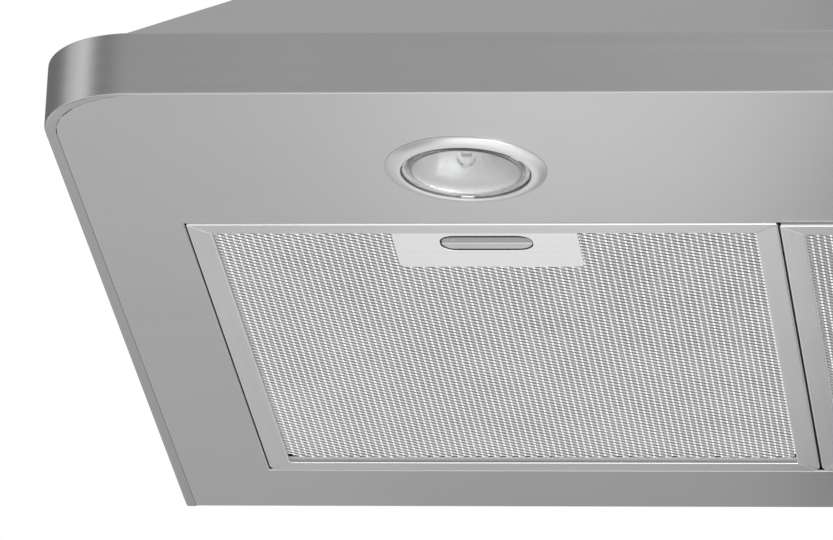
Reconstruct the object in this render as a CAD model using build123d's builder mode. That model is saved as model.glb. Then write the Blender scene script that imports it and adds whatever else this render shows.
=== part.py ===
from build123d import *
import os
from math import cos, degrees, radians, sin, sqrt

os.makedirs("parts", exist_ok=True)

# Wall mount range hood: a folded steel canopy with a low round-cornered band and a sloping pyramid, a
# bottom panel with three mesh filters and two lamps, a blower hung inside, and a chimney in two
# telescoping covers.
# Frame: millimetres, x to the right, y towards the wall, z up. The origin is the middle of the wall rail's
# screw line, in the plane of the wall. Heights below are taken from the underside of the bottom panel.

# Canopy
hood_width = 896
hood_depth = 500
hang_height = 165
sheet = 1.2
band_height = 29.2
band_corner = 43
ledge_width = 16
pyramid_rise = 222
slope_wall = 1.8
neck_width = 260
neck_depth = 250
neck_height = 12
neck_flange = 10
lip_side = 5
lip_front = 1
seat_width = 8
hem_height = 10

# Clearances
seam = 0.2
fit_gap = 0.3
run_gap = 0.05
over = 1

# Wall side
back_recess = 14
rail_length = 400
rail_sheet = 2
rail_drop = 20
rail_rise = 14
rail_lip = 14
rail_reach = 8
rail_screw_spacing = 300
rail_screw_hole = 6.5
hanger_length = 360
hanger_gap = 1
hanger_tongue = 12
safety_screw_spacing = 600
safety_screw_hole = 8
safety_screw_height = 45

# Filters and their aperture
filter_gap = 0.6
filter_proud = 0.3
frame_bar = 10.5
frame_hem = 3
frame_wall = 1
channel_height = 5
channel_lip = 8
mitre_width = 0.4
edge_round = 0.8
aperture_setback = 144.6
aperture_side_margin = 47.45
aperture_rear_margin = 49
aperture_side_gap = 0.5
aperture_end_gap = 0.45
aperture_flange = 12
mesh_sheet = 0.8
core_layers = 3
layer_sheet = 0.4
core_hem = 3
mesh_columns = 9
mesh_rows = 8
mesh_strand = 5
tongue_width = 18
tongue_reach = 6
tongue_spread = 160
rail_foot = 14
rail_upright = 16
rail_ledge = 1.4
tongue_room = 8

# Latch
latch_plate_width = 84
latch_plate_depth = 43.5
latch_plate_sheet = 0.8
latch_plate_corner = 4
finger_window_width = 42
finger_window_depth = 17
finger_window_corner = 7
finger_window_setback = 26.5
latch_travel = 5
latch_sheet = 1
latch_width = 62
latch_front = 12
latch_length = 31
latch_bolt_width = 24
latch_foot = 1
rib_gap = 1.2
rib_end_gap = 0.7
rib_slope = 0.8
pocket_depth = 53.6
pocket_side = 3
pocket_height = 2.8
spring_strip = 0.5
spring_height = 1.8
spring_chord = 50

# Lamps
lamp_setback = 83
lamp_hole = 60
bezel_outer = 71.7
bezel_inner = 57.4
bezel_crest = 2.4
bezel_rim = 1.7
bezel_wall = 1
bezel_tube = 12
lens_rise = 1.5
lens_sheet = 2.5
lens_clear = 49.2
lens_bevel = 0.8
bowl_sheet = 0.8
bowl_mouth = 50.8
bowl_belly = 38
bowl_belly_rise = 10
bowl_depth = 17
bowl_throat = 13
bulb_width = 8.6
bulb_length = 16.4
bulb_tip = 2.6
pinch_width = 7.6
pinch_thick = 3
pinch_length = 7
holder_width = 20
holder_height = 14
holder_slot = 0.3

# Controls
button_count = 5
button_pitch = 22
button_width = 12
button_proud = 2
button_length = 15
button_travel = 2.5
button_gap = 0.3
fascia_margin = 9
fascia_height = 18
fascia_sheet = 1.5
switch_depth = 24
switch_height = 24

# Blower
housing_wall = 2
housing_half = 72
scroll_rear = 84
scroll_growth = 8
fan_centre_setback = 115
fan_centre_height = 150
inlet_radius = 58
inlet_bell = 5
throat_flange = 10
impeller_radius = 72
blade_chord = 12
blade_sheet = 1.2
blade_count = 30
blade_lean = 9
blade_curl = 1.8
impeller_half = 62
ring_sheet = 2
disc_sheet = 3
hub_radius = 12
hub_length = 16
shaft_radius = 4
motor_radius = 40
motor_gap = 5
motor_cap = 8
motor_cap_taper = 25
bracket_sheet = 3
bracket_arm = 14
bracket_lap = 12
bracket_arms = 3
bracket_disc_radius = 36
bracket_pad_radius = 20
blower_screw_radius = 2
blower_screw_head = 3.5
blower_screw_head_height = 3
blower_screw_length = 9
blower_screw_spread = 120

# Duct collar and dampers
collar_radius = 74.7
collar_wall = 2
collar_height = 45
plenum_side_margin = 30
plenum_end_margin = 25
plenum_height = 18
damper_ledge = 4
damper_ledge_sheet = 1.5
damper_sheet = 1.2
damper_lift = 6
damper_pin_radius = 1.5
damper_pin_spread = 7
damper_sleeve = 1.1
damper_edge_gap = 1.2

# Electrics
junction_width = 80
junction_height = 50
junction_depth = 30
junction_side = 170
junction_level = 90
capacitor_radius = 15
capacitor_length = 60
capacitor_side = 110
capacitor_level = 110
gland_bore = 3.6
gland_thread = 6
gland_hex = 8.4
gland_flange = 4
gland_dome = 8
gland_tail = 9
gland_dome_taper = 20
gland_inset = 20.8
gland_setback = 45

# Chimney
chimney_sheet = 1
chimney_lower_height = 400
chimney_upper_height = 430
chimney_return = 12
slide_gap = 0.4
chimney_travel = 300
vent_count = 6
vent_length = 90
vent_height = 4
vent_pitch = 11
vent_top = 45
ceiling_bracket_height = 24
ceiling_bracket_sheet = 1.5
ceiling_bracket_ear = 40
ceiling_bracket_drop = 8
ceiling_screw_spacing = 160
ceiling_screw_hole = 6.5

# Places worked out from the sizes above
REAR = (Align.CENTER, Align.MAX)
LOW = (Align.CENTER, Align.MIN)
front_y = -hood_depth
foot_width = hood_width - 2 * ledge_width
foot_depth = hood_depth - ledge_width
neck_base = band_height + pyramid_rise
neck_top = neck_base + neck_height
back_y = -back_recess
aperture_width = hood_width - 2 * aperture_side_margin
aperture_front_y = front_y + aperture_setback
aperture_rear_y = -aperture_rear_margin
aperture_depth = aperture_rear_y - aperture_front_y
aperture_mid_y = (aperture_front_y + aperture_rear_y) / 2
filter_pitch = (aperture_width - 2 * aperture_side_gap + filter_gap) / 3
filter_width = filter_pitch - filter_gap
filter_depth = aperture_depth - 2 * aperture_end_gap
filter_front_y = aperture_front_y + aperture_end_gap
filter_rear_y = filter_front_y + filter_depth
filter_places = {"left": -filter_pitch, "middle": 0, "right": filter_pitch}
lamp_places = {"left": -filter_pitch, "right": filter_pitch}
lamp_y = front_y + lamp_setback
button_height = 2 * sheet + switch_height / 2
button_names = ("off", "low", "mid", "high", "light")
button_xs = [(i - (button_count - 1) / 2) * button_pitch for i in range(button_count)]
fan_y = -fan_centre_setback
plate_top = neck_top + sheet
collar_y = -neck_depth / 2
plenum_width = neck_width - 2 * plenum_side_margin
plenum_depth = neck_depth - 2 * plenum_end_margin
gland_x = gland_inset - neck_width / 2


def level(height):
    """Horizontal plane at a height above the underside."""
    return Plane.XY.offset(height - hang_height)


def section(x):
    """Upright plane across the hood at x, with y and z as its axes."""
    return Plane.YZ.offset(x)


def elevation(y):
    """Upright plane along the wall at y, with x and z as its axes, that faces the room."""
    return Plane.XZ.offset(-y)


def up(height):
    """The z of a height above the underside, for sketches on upright planes."""
    return height - hang_height


def save(piece, name):
    """Label a finished piece and write it."""
    piece.part.label = name
    export_step(piece.part, f"parts/{name}.step")


def make_pyramid(inset_foot, inset_neck, rear_y):
    """Frustum with an upright rear face: what a front view and a side view of it have in common."""
    foot_half = foot_width / 2 - inset_foot
    foot_front = inset_foot - foot_depth
    neck_half = neck_width / 2 - inset_neck
    neck_front = inset_neck - neck_depth
    low = up(band_height)
    high = up(neck_base)
    with BuildPart() as frustum:
        with BuildSketch(elevation(rear_y)):
            with BuildLine():
                Polyline(
                    (-foot_half, low), (foot_half, low), (neck_half, high), (-neck_half, high), close=True
                )
            make_face()
        extrude(amount=rear_y - foot_front)
        with BuildSketch(section(-foot_half)):
            with BuildLine():
                Polyline((rear_y, low), (foot_front, low), (neck_front, high), (rear_y, high), close=True)
            make_face()
        extrude(amount=2 * foot_half, mode=Mode.INTERSECT)
    return frustum.part


# Canopy shell: band, ledge, pyramid and neck folded and welded from one thickness of steel
pyramid_outside = make_pyramid(0, 0, 0)
pyramid_inside = make_pyramid(slope_wall, sheet, over)
with BuildPart() as canopy_shell:
    with BuildSketch(level(0)) as band_plan:
        Rectangle(hood_width, hood_depth, align=REAR)
        fillet(band_plan.vertices().group_by(Axis.Y)[0], band_corner)
    extrude(amount=band_height)
    add(pyramid_outside)
    with BuildSketch(level(neck_base)):
        Rectangle(neck_width, neck_depth, align=REAR)
    extrude(amount=neck_height)
    # the band is hollow and open to the wall
    with BuildSketch(level(sheet)) as band_hollow:
        with Locations((0, over)):
            Rectangle(hood_width - 2 * sheet, hood_depth - sheet + over, align=REAR)
        fillet(band_hollow.vertices().group_by(Axis.Y)[0], band_corner - sheet)
    extrude(amount=band_height - 2 * sheet, mode=Mode.SUBTRACT)
    # the mouth for the bottom panel leaves a narrow lip round the sides and the front
    with BuildSketch(level(0)) as mouth:
        with Locations((0, over)):
            Rectangle(hood_width - 2 * lip_side, hood_depth - lip_front + over, align=REAR)
        fillet(mouth.vertices().group_by(Axis.Y)[0], band_corner)
    extrude(amount=sheet, mode=Mode.SUBTRACT)
    # the pyramid and the neck are hollow as well
    with BuildSketch(level(band_height - sheet)):
        with Locations((0, over)):
            Rectangle(foot_width - 2 * slope_wall, foot_depth - slope_wall + over, align=REAR)
    extrude(amount=sheet, mode=Mode.SUBTRACT)
    add(pyramid_inside, mode=Mode.SUBTRACT)
    with BuildSketch(level(neck_base)):
        with Locations((0, over)):
            Rectangle(neck_width - 2 * sheet, neck_depth - sheet + over, align=REAR)
    extrude(amount=neck_height - sheet, mode=Mode.SUBTRACT)
    with BuildSketch(level(neck_top - sheet)):
        with Locations((0, over)):
            Rectangle(
                neck_width - 2 * (sheet + neck_flange),
                neck_depth - sheet - neck_flange + over,
                align=REAR,
            )
    extrude(amount=sheet, mode=Mode.SUBTRACT)
    # button holes in the front of the band
    with BuildSketch(elevation(front_y)):
        with Locations(*[(x, up(button_height)) for x in button_xs]):
            Circle(button_width / 2 + button_gap)
    extrude(amount=-sheet - over, mode=Mode.SUBTRACT)
save(canopy_shell, "canopy_shell")

# Bottom panel: flush with the lip, with a joggled edge that seats on it
with BuildPart() as bottom_panel:
    with BuildSketch(level(0)) as panel_plan:
        with Locations((0, -seam)):
            Rectangle(
                hood_width - 2 * (lip_side + seam), hood_depth - lip_front - 2 * seam, align=REAR
            )
        fillet(panel_plan.vertices().group_by(Axis.Y)[0], band_corner)
        with Locations((0, aperture_mid_y)):
            Rectangle(aperture_width, aperture_depth, mode=Mode.SUBTRACT)
        with Locations(*[(x, lamp_y) for x in lamp_places.values()]):
            Circle(lamp_hole / 2, mode=Mode.SUBTRACT)
    extrude(amount=sheet)
    with BuildSketch(level(sheet)) as seat_plan:
        with Locations((0, -seam)):
            Rectangle(hood_width - 2 * (sheet + seam), hood_depth - sheet - 2 * seam, align=REAR)
        fillet(seat_plan.vertices().group_by(Axis.Y)[0], band_corner - sheet)
        with Locations((0, over)):
            Rectangle(
                hood_width - 2 * (lip_side + seat_width),
                hood_depth - lip_front - seat_width + over,
                align=REAR,
                mode=Mode.SUBTRACT,
            )
    extrude(amount=sheet)
    # turned-up flanges beside the filters, and the hem along the wall
    with BuildSketch(level(sheet)):
        with Locations(
            (-(aperture_width + sheet) / 2, aperture_mid_y),
            ((aperture_width + sheet) / 2, aperture_mid_y),
        ):
            Rectangle(sheet, aperture_depth)
    extrude(amount=aperture_flange)
    with BuildSketch(level(sheet)):
        with Locations((0, -seam)):
            Rectangle(hood_width - 2 * (lip_side + seat_width), sheet, align=REAR)
    extrude(amount=hem_height)
save(bottom_panel, "bottom_panel")

# Back plate: a trapezoid set in front of the wall, with a flange that carries the blower plate
foot_inside = foot_width / 2 - slope_wall - seam
neck_inside = neck_width / 2 - sheet - seam
band_inside = hood_width / 2 - sheet - seam
with BuildPart() as back_plate:
    with BuildSketch(elevation(back_y - sheet)):
        with BuildLine():
            Polyline(
                (-band_inside, up(2 * sheet + fit_gap)),
                (band_inside, up(2 * sheet + fit_gap)),
                (band_inside, up(band_height - sheet - fit_gap)),
                (foot_inside, up(band_height - sheet - fit_gap)),
                (foot_inside, up(band_height)),
                (neck_inside, up(neck_base)),
                (neck_inside, up(neck_top - sheet - fit_gap)),
                (neck_inside - neck_flange, up(neck_top - sheet - fit_gap)),
                (neck_inside - neck_flange, up(neck_top)),
                (-neck_inside + neck_flange, up(neck_top)),
                (-neck_inside + neck_flange, up(neck_top - sheet - fit_gap)),
                (-neck_inside, up(neck_top - sheet - fit_gap)),
                (-neck_inside, up(neck_base)),
                (-foot_inside, up(band_height)),
                (-foot_inside, up(band_height - sheet - fit_gap)),
                (-band_inside, up(band_height - sheet - fit_gap)),
                close=True,
            )
        make_face()
        with Locations(
            (-safety_screw_spacing / 2, up(safety_screw_height)),
            (safety_screw_spacing / 2, up(safety_screw_height)),
        ):
            Circle(safety_screw_hole / 2, mode=Mode.SUBTRACT)
    extrude(amount=-sheet)
    with BuildSketch(level(neck_top - sheet)):
        with Locations((0, back_y - sheet)):
            Rectangle(2 * (neck_inside - neck_flange), neck_flange, align=REAR)
    extrude(amount=sheet)
save(back_plate, "back_plate")

# Wall rail: a Z-shaped strip that is screwed to the wall, with an upright lip
with BuildPart() as wall_rail:
    with BuildSketch(section(-rail_length / 2)):
        with Locations((-rail_sheet / 2, -rail_drop)):
            Rectangle(rail_sheet, rail_drop + rail_rise, align=LOW)
        with Locations((-rail_reach / 2, rail_rise - rail_sheet)):
            Rectangle(rail_reach, rail_sheet, align=LOW)
        with Locations((-rail_reach + rail_sheet / 2, rail_rise - rail_sheet)):
            Rectangle(rail_sheet, rail_lip, align=LOW)
    extrude(amount=rail_length)
    with BuildSketch(elevation(0)):
        with Locations((-rail_screw_spacing / 2, 0), (rail_screw_spacing / 2, 0)):
            Circle(rail_screw_hole / 2)
    extrude(amount=rail_sheet, mode=Mode.SUBTRACT)
save(wall_rail, "wall_rail")

# Hanger bar: welded to the rear of the back plate, its tongue drops in behind the rail's lip
rail_top = rail_rise - rail_sheet + rail_lip
hanger_tongue_y = -rail_reach + rail_sheet + hanger_gap
with BuildPart() as hanger_bar:
    with BuildSketch(section(-hanger_length / 2)):
        with Locations(((back_y + hanger_tongue_y + rail_sheet) / 2, rail_top + fit_gap)):
            Rectangle(hanger_tongue_y + rail_sheet - back_y, rail_sheet, align=LOW)
        with Locations((hanger_tongue_y + rail_sheet / 2, rail_top + fit_gap + rail_sheet)):
            Rectangle(rail_sheet, hanger_tongue, align=REAR)
        with Locations((back_y + rail_sheet / 2, rail_top + fit_gap + rail_sheet)):
            Rectangle(rail_sheet, hanger_tongue, align=REAR)
    extrude(amount=hanger_length)
save(hanger_bar, "hanger_bar")

# Filter rails: stiffeners along the aperture. The front one is the ledge for the latches
with BuildPart() as filter_rail_front:
    with BuildSketch(level(sheet)):
        with Locations((0, aperture_front_y)):
            Rectangle(aperture_width, rail_foot, align=REAR)
    extrude(amount=rail_ledge)
    with BuildSketch(level(sheet)):
        with Locations((0, aperture_front_y - rail_foot)):
            Rectangle(aperture_width, sheet, align=LOW)
    extrude(amount=rail_upright)
save(filter_rail_front, "filter_rail_front")

with BuildPart() as filter_rail_rear:
    with BuildSketch(level(sheet)):
        with Locations((0, aperture_rear_y + tongue_room)):
            Rectangle(aperture_width, rail_foot, align=LOW)
    extrude(amount=rail_ledge)
    with BuildSketch(level(sheet)):
        with Locations((0, aperture_rear_y + tongue_room)):
            Rectangle(aperture_width, sheet, align=LOW)
    extrude(amount=rail_upright)
save(filter_rail_rear, "filter_rail_rear")


# Filters: a mitred channel round a face mesh and a mesh core, with a sprung latch at the front
hem_top = frame_hem - filter_proud
channel_top = hem_top + channel_height
window_width = filter_width - 2 * frame_bar
window_depth = filter_depth - 2 * frame_bar
filter_mid_y = (filter_front_y + filter_rear_y) / 2
slide_bottom = hem_top + fit_gap
slide_base = slide_bottom + latch_foot
pocket_width = latch_width + 2 * pocket_side
bolt_pocket_width = latch_bolt_width + 2 * pocket_side
mesh_width = filter_width - 2 * (frame_wall + seam)
mesh_depth = filter_depth - 2 * (frame_wall + seam)


def mesh_gaps(x):
    """Centres of the diamonds of one face mesh, in two staggered sets, clear of the latch plate."""
    step_x = window_width / mesh_columns
    step_y = window_depth / mesh_rows
    latch_half = latch_plate_width / 2 + step_x / 2
    latch_end = filter_front_y + frame_bar + latch_plate_depth + step_y / 2
    centres = []
    for row in range(2 * mesh_rows - 1):
        shift = row % 2
        for column in range(mesh_columns - shift):
            gap_x = (column + (1 + shift) / 2) * step_x - window_width / 2
            gap_y = filter_front_y + frame_bar + (row + 1) / 2 * step_y
            if abs(gap_x) > latch_half or gap_y > latch_end:
                centres.append((x + gap_x, gap_y))
    return centres


def make_filter_frame(x, name):
    """Channel with a deep hem below, mitre lines at its corners, a bolt slot and two rear tongues."""
    mitre_length = frame_bar * sqrt(2) + 2 * mitre_width
    with BuildPart() as frame:
        with BuildSketch(level(-filter_proud)):
            with Locations((x, filter_mid_y)):
                Rectangle(filter_width, filter_depth)
                Rectangle(window_width, window_depth, mode=Mode.SUBTRACT)
        extrude(amount=frame_hem)
        with BuildSketch(level(hem_top)):
            with Locations((x, filter_mid_y)):
                Rectangle(filter_width, filter_depth)
                Rectangle(
                    filter_width - 2 * frame_wall, filter_depth - 2 * frame_wall, mode=Mode.SUBTRACT
                )
        extrude(amount=channel_height)
        with BuildSketch(level(channel_top)):
            with Locations((x, filter_mid_y)):
                Rectangle(filter_width, filter_depth)
                Rectangle(
                    filter_width - 2 * channel_lip, filter_depth - 2 * channel_lip, mode=Mode.SUBTRACT
                )
        extrude(amount=frame_wall)
        chamfer(frame.faces().sort_by(Axis.Z)[0].outer_wire().edges(), edge_round)
        # mitre lines
        with BuildSketch(level(-filter_proud)):
            for side in (-1, 1):
                for end in (-1, 1):
                    corner_x = x + side * (filter_width - frame_bar) / 2
                    corner_y = filter_mid_y + end * (filter_depth - frame_bar) / 2
                    with Locations((corner_x, corner_y)):
                        Rectangle(mitre_length, mitre_width, rotation=45 * side * end)
        extrude(amount=mitre_width, mode=Mode.SUBTRACT)
        # slot for the bolt through the front wall
        with BuildSketch(level(slide_bottom - fit_gap)):
            with Locations((x, filter_front_y - over)):
                Rectangle(latch_bolt_width + 2 * fit_gap, frame_wall + 2 * over, align=LOW)
        extrude(amount=latch_sheet + 2 * fit_gap, mode=Mode.SUBTRACT)
        # rear tongues over the edge of the aperture
        with BuildSketch(level(sheet + fit_gap)):
            with Locations(
                (x - tongue_spread / 2, filter_rear_y - over), (x + tongue_spread / 2, filter_rear_y - over)
            ):
                Rectangle(tongue_width, tongue_reach + over, align=LOW)
        extrude(amount=sheet)
    save(frame, f"filter_{name}_frame")


def make_filter_mesh(x, name):
    """Face mesh with diamond gaps, cut away behind the latch plate."""
    with BuildPart() as mesh:
        with BuildSketch(level(hem_top)):
            with Locations((x, filter_mid_y)):
                Rectangle(mesh_width, mesh_depth)
            draw_latch_pocket(x)
            half_x = window_width / mesh_columns / 2 - mesh_strand / 2
            half_y = window_depth / mesh_rows / 2 - mesh_strand / 2
            with Locations(*mesh_gaps(x)):
                Polygon((half_x, 0), (0, half_y), (-half_x, 0), (0, -half_y), mode=Mode.SUBTRACT)
        extrude(amount=mesh_sheet)
    save(mesh, f"filter_{name}_face_mesh")


def draw_latch_pocket(x):
    """Cut the latch mechanism's outline out of the sketch in hand: its slide, and its bolt in front."""
    with Locations((x, filter_front_y + frame_bar)):
        Rectangle(pocket_width, pocket_depth - frame_bar, align=LOW, mode=Mode.SUBTRACT)
    with Locations((x, filter_front_y)):
        Rectangle(bolt_pocket_width, frame_bar + over, align=LOW, mode=Mode.SUBTRACT)


def make_filter_core(x, name):
    """Mesh core: layers held apart by a shared hem, the lower ones cut away round the latch."""
    core_bottom = hem_top + mesh_sheet
    layer_pitch = (channel_top - core_bottom) / core_layers
    with BuildPart() as core:
        for layer in range(core_layers):
            layer_top = core_bottom + (layer + 1) * layer_pitch
            with BuildSketch(level(layer_top - layer_sheet)):
                with Locations((x, filter_mid_y)):
                    Rectangle(mesh_width, mesh_depth)
                if layer_top - layer_sheet < hem_top + pocket_height:
                    draw_latch_pocket(x)
            extrude(amount=layer_sheet)
        # the layers meet in a folded hem inside the channel
        with BuildSketch(level(core_bottom)):
            with Locations((x, filter_mid_y)):
                Rectangle(mesh_width, mesh_depth)
                Rectangle(mesh_width - 2 * core_hem, mesh_depth - 2 * core_hem, mode=Mode.SUBTRACT)
            draw_latch_pocket(x)
        extrude(amount=channel_top - core_bottom)
    save(core, f"filter_{name}_core")


def make_latch_plate(x, name):
    """Plain plate over the mechanism, with the round-ended finger window."""
    with BuildPart() as plate:
        with BuildSketch(level(hem_top - latch_plate_sheet)) as plan:
            with Locations((x, filter_front_y + frame_bar + seam)):
                Rectangle(latch_plate_width, latch_plate_depth - seam, align=LOW)
            fillet(plan.vertices().group_by(Axis.Y)[-1], latch_plate_corner)
            with Locations((x, filter_front_y + finger_window_setback)):
                RectangleRounded(
                    finger_window_width, finger_window_depth, finger_window_corner, mode=Mode.SUBTRACT
                )
        extrude(amount=latch_plate_sheet)
    save(plate, f"filter_{name}_latch_plate")


def make_latch_slide(x, name):
    """Sprung slide: a base on two side feet, a bolt through the front wall, and a roof-shaped rib."""
    slide_front_y = filter_front_y + latch_front
    rib_half = finger_window_depth / 2 - rib_gap
    rib_y = filter_front_y + finger_window_setback
    with BuildPart() as rib:
        with BuildSketch(level(slide_bottom)):
            with Locations((x, rib_y)):
                RectangleRounded(
                    finger_window_width - 2 * rib_end_gap, 2 * rib_half, finger_window_corner - rib_gap
                )
        extrude(amount=latch_foot + latch_sheet)
        with BuildSketch(section(x)):
            with BuildLine():
                Polyline(
                    (rib_y, up(slide_bottom)),
                    (rib_y + rib_half + over, up(slide_bottom + rib_slope * (1 + over / rib_half))),
                    (rib_y + rib_half + over, up(slide_base + latch_sheet)),
                    (rib_y - rib_half - over, up(slide_base + latch_sheet)),
                    (rib_y - rib_half - over, up(slide_bottom + rib_slope * (1 + over / rib_half))),
                    close=True,
                )
            make_face()
        extrude(amount=finger_window_width, both=True, mode=Mode.INTERSECT)
    with BuildPart() as slide:
        with BuildSketch(level(slide_base)):
            with Locations((x, slide_front_y)):
                Rectangle(latch_width, latch_length, align=LOW)
        extrude(amount=latch_sheet)
        with BuildSketch(level(slide_bottom)):
            with Locations((x - (latch_width - latch_sheet) / 2, slide_front_y)):
                Rectangle(latch_sheet, latch_length, align=LOW)
            with Locations((x + (latch_width - latch_sheet) / 2, slide_front_y)):
                Rectangle(latch_sheet, latch_length, align=LOW)
            with Locations((x, filter_front_y)):
                Rectangle(latch_bolt_width, latch_front + latch_sheet, align=LOW)
        extrude(amount=latch_sheet)
        add(rib.part)
    save(slide, f"filter_{name}_latch_slide")


def make_latch_spring(x, name):
    """Leaf spring: a bowed strip between the slide and the rear of its pocket."""
    slide_end_y = filter_front_y + latch_front + latch_length
    pocket_end_y = filter_front_y + pocket_depth
    with BuildPart() as spring:
        with BuildSketch(level(slide_bottom + fit_gap)):
            with BuildLine():
                rear = ThreePointArc(
                    (x - spring_chord / 2, pocket_end_y - seam),
                    (x, slide_end_y + seam + spring_strip),
                    (x + spring_chord / 2, pocket_end_y - seam),
                )
                Line(rear @ 1, (x + spring_chord / 2 - spring_strip, pocket_end_y - seam - spring_strip))
                front = ThreePointArc(
                    (x + spring_chord / 2 - spring_strip, pocket_end_y - seam - spring_strip),
                    (x, slide_end_y + seam),
                    (x - spring_chord / 2 + spring_strip, pocket_end_y - seam - spring_strip),
                )
                Line(front @ 1, rear @ 0)
            make_face()
        extrude(amount=spring_height)
    save(spring, f"filter_{name}_latch_spring")


for place, centre_x in filter_places.items():
    make_filter_frame(centre_x, place)
    make_filter_mesh(centre_x, place)
    make_filter_core(centre_x, place)
    make_latch_plate(centre_x, place)
    make_latch_slide(centre_x, place)
    make_latch_spring(centre_x, place)


# Lamps: a bezel clipped into the panel, a bevelled glass lens, a reflector bowl, a capsule bulb and
# its holder
def lamp_plane(x):
    """Upright plane through a lamp's axis: radius first, then height above the underside."""
    return Plane(origin=(x, lamp_y, up(0)), x_dir=(1, 0, 0), z_dir=(0, -1, 0))


def lamp_axis(x):
    return Axis((x, lamp_y, up(0)), (0, 0, 1))


lens_radius = bezel_inner / 2 - seam
lens_top = lens_sheet - lens_rise
bowl_top = lens_top + bowl_depth


def make_bezel(x, name):
    """Domed ring below the panel, with a tube that goes up through it."""
    inner = bezel_inner / 2
    outer = bezel_outer / 2
    crest = (inner + outer) / 2
    with BuildPart() as bezel:
        with BuildSketch(lamp_plane(x)):
            with BuildLine():
                ring = Polyline((inner, -bezel_rim), (inner, bezel_tube), (inner + bezel_wall, bezel_tube))
                step = Polyline(ring @ 1, (inner + bezel_wall, 0), (outer, 0))
                ThreePointArc(step @ 1, (crest, -bezel_crest), ring @ 0)
            make_face()
        revolve(axis=lamp_axis(x))
    save(bezel, f"lamp_{name}_bezel")


def make_lens(x, name):
    """Round glass with a broad bevel round its clear middle."""
    with BuildPart() as lens:
        with BuildSketch(lamp_plane(x)):
            with BuildLine():
                Polyline(
                    (0, -lens_rise),
                    (lens_clear / 2, -lens_rise),
                    (lens_radius, -lens_rise + lens_bevel),
                    (lens_radius, lens_top),
                    (0, lens_top),
                    close=True,
                )
            make_face()
        revolve(axis=lamp_axis(x))
    save(lens, f"lamp_{name}_lens")


def make_reflector(x, name):
    """Thin bowl with a flat rim on the lens and a short neck for the bulb."""
    mouth = bowl_mouth / 2
    throat = bowl_throat / 2
    belly = bowl_belly / 2
    belly_height = lens_top + bowl_belly_rise
    with BuildPart() as bowl:
        with BuildSketch(lamp_plane(x)):
            with BuildLine():
                Polyline(
                    (mouth, lens_top),
                    (belly, belly_height),
                    (throat, bowl_top),
                    (throat, bowl_top + 2 * bowl_sheet),
                    (throat + bowl_sheet, bowl_top + 2 * bowl_sheet),
                    (throat + bowl_sheet, bowl_top + bowl_sheet),
                    (belly + bowl_sheet, belly_height + bowl_sheet),
                    (mouth + bowl_sheet, lens_top + bowl_sheet),
                    (lens_radius, lens_top + bowl_sheet),
                    (lens_radius, lens_top),
                    close=True,
                )
            make_face()
        revolve(axis=lamp_axis(x))
    save(bowl, f"lamp_{name}_reflector")


pinch_bottom = bulb_tip + bulb_length
holder_bottom = bowl_top + 2 * bowl_sheet


def make_bulb(x, name):
    """Capsule with a round tip and a flat pinch at its base."""
    radius = bulb_width / 2
    with BuildPart() as bulb:
        with BuildSketch(lamp_plane(x)):
            with BuildLine():
                shoulder = Polyline(
                    (radius, bulb_tip + radius),
                    (radius, pinch_bottom - radius / 2),
                    (radius / 2, pinch_bottom),
                    (0, pinch_bottom),
                    (0, bulb_tip),
                )
                RadiusArc(shoulder @ 1, shoulder @ 0, -radius)
            make_face()
        revolve(axis=lamp_axis(x))
        with BuildSketch(level(pinch_bottom - over)):
            with Locations((x, lamp_y)):
                Rectangle(pinch_width, pinch_thick)
        extrude(amount=pinch_length + over)
    save(bulb, f"lamp_{name}_bulb")


def make_lamp_holder(x, name):
    """Ceramic block on the reflector's neck, with a slot for the bulb's pinch."""
    with BuildPart() as holder:
        with BuildSketch(level(holder_bottom)):
            with Locations((x, lamp_y)):
                RectangleRounded(holder_width, holder_width, holder_width / 5)
        extrude(amount=holder_height)
        with BuildSketch(level(holder_bottom)):
            with Locations((x, lamp_y)):
                Rectangle(pinch_width + 2 * holder_slot, pinch_thick + 2 * holder_slot)
        extrude(amount=pinch_bottom + pinch_length - holder_bottom + holder_slot, mode=Mode.SUBTRACT)
        chamfer(holder.faces().sort_by(Axis.Z)[-1].edges(), holder_width / 10)
    save(holder, f"lamp_{name}_holder")


for place, centre_x in lamp_places.items():
    make_bezel(centre_x, place)
    make_lens(centre_x, place)
    make_reflector(centre_x, place)
    make_bulb(centre_x, place)
    make_lamp_holder(centre_x, place)

# Controls: a fascia on the band, five buttons through it, and the switch block behind
fascia_width = (button_count - 1) * button_pitch + button_width + 2 * fascia_margin
with BuildPart() as control_fascia:
    with BuildSketch(elevation(front_y)):
        with Locations((0, up(button_height))):
            RectangleRounded(fascia_width, fascia_height, fascia_height / 2 - over)
        with Locations(*[(x, up(button_height)) for x in button_xs]):
            Circle(button_width / 2 + button_gap, mode=Mode.SUBTRACT)
    extrude(amount=fascia_sheet)
    chamfer(control_fascia.faces().sort_by(Axis.Y)[0].outer_wire().edges(), fascia_sheet / 3)
save(control_fascia, "control_fascia")

button_face_y = front_y - fascia_sheet - button_proud
button_end_y = button_face_y + button_length
switch_front_y = front_y + sheet + fit_gap
with BuildPart() as switch_block:
    with BuildSketch(level(2 * sheet)):
        with Locations((0, switch_front_y)):
            Rectangle(fascia_width, switch_depth, align=LOW)
    extrude(amount=switch_height)
    with BuildSketch(elevation(switch_front_y)):
        with Locations(*[(x, up(button_height)) for x in button_xs]):
            Circle(button_width / 2 + button_gap)
    extrude(amount=-(button_end_y + button_travel + fit_gap - switch_front_y), mode=Mode.SUBTRACT)
save(switch_block, "switch_block")

for button_name, button_x in zip(button_names, button_xs):
    with BuildPart() as button:
        with BuildSketch(elevation(button_face_y)):
            with Locations((button_x, up(button_height))):
                Circle(button_width / 2)
        extrude(amount=-button_length)
        chamfer(button.faces().sort_by(Axis.Y)[0].edges(), edge_round)
    save(button, f"button_{button_name}")

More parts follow.
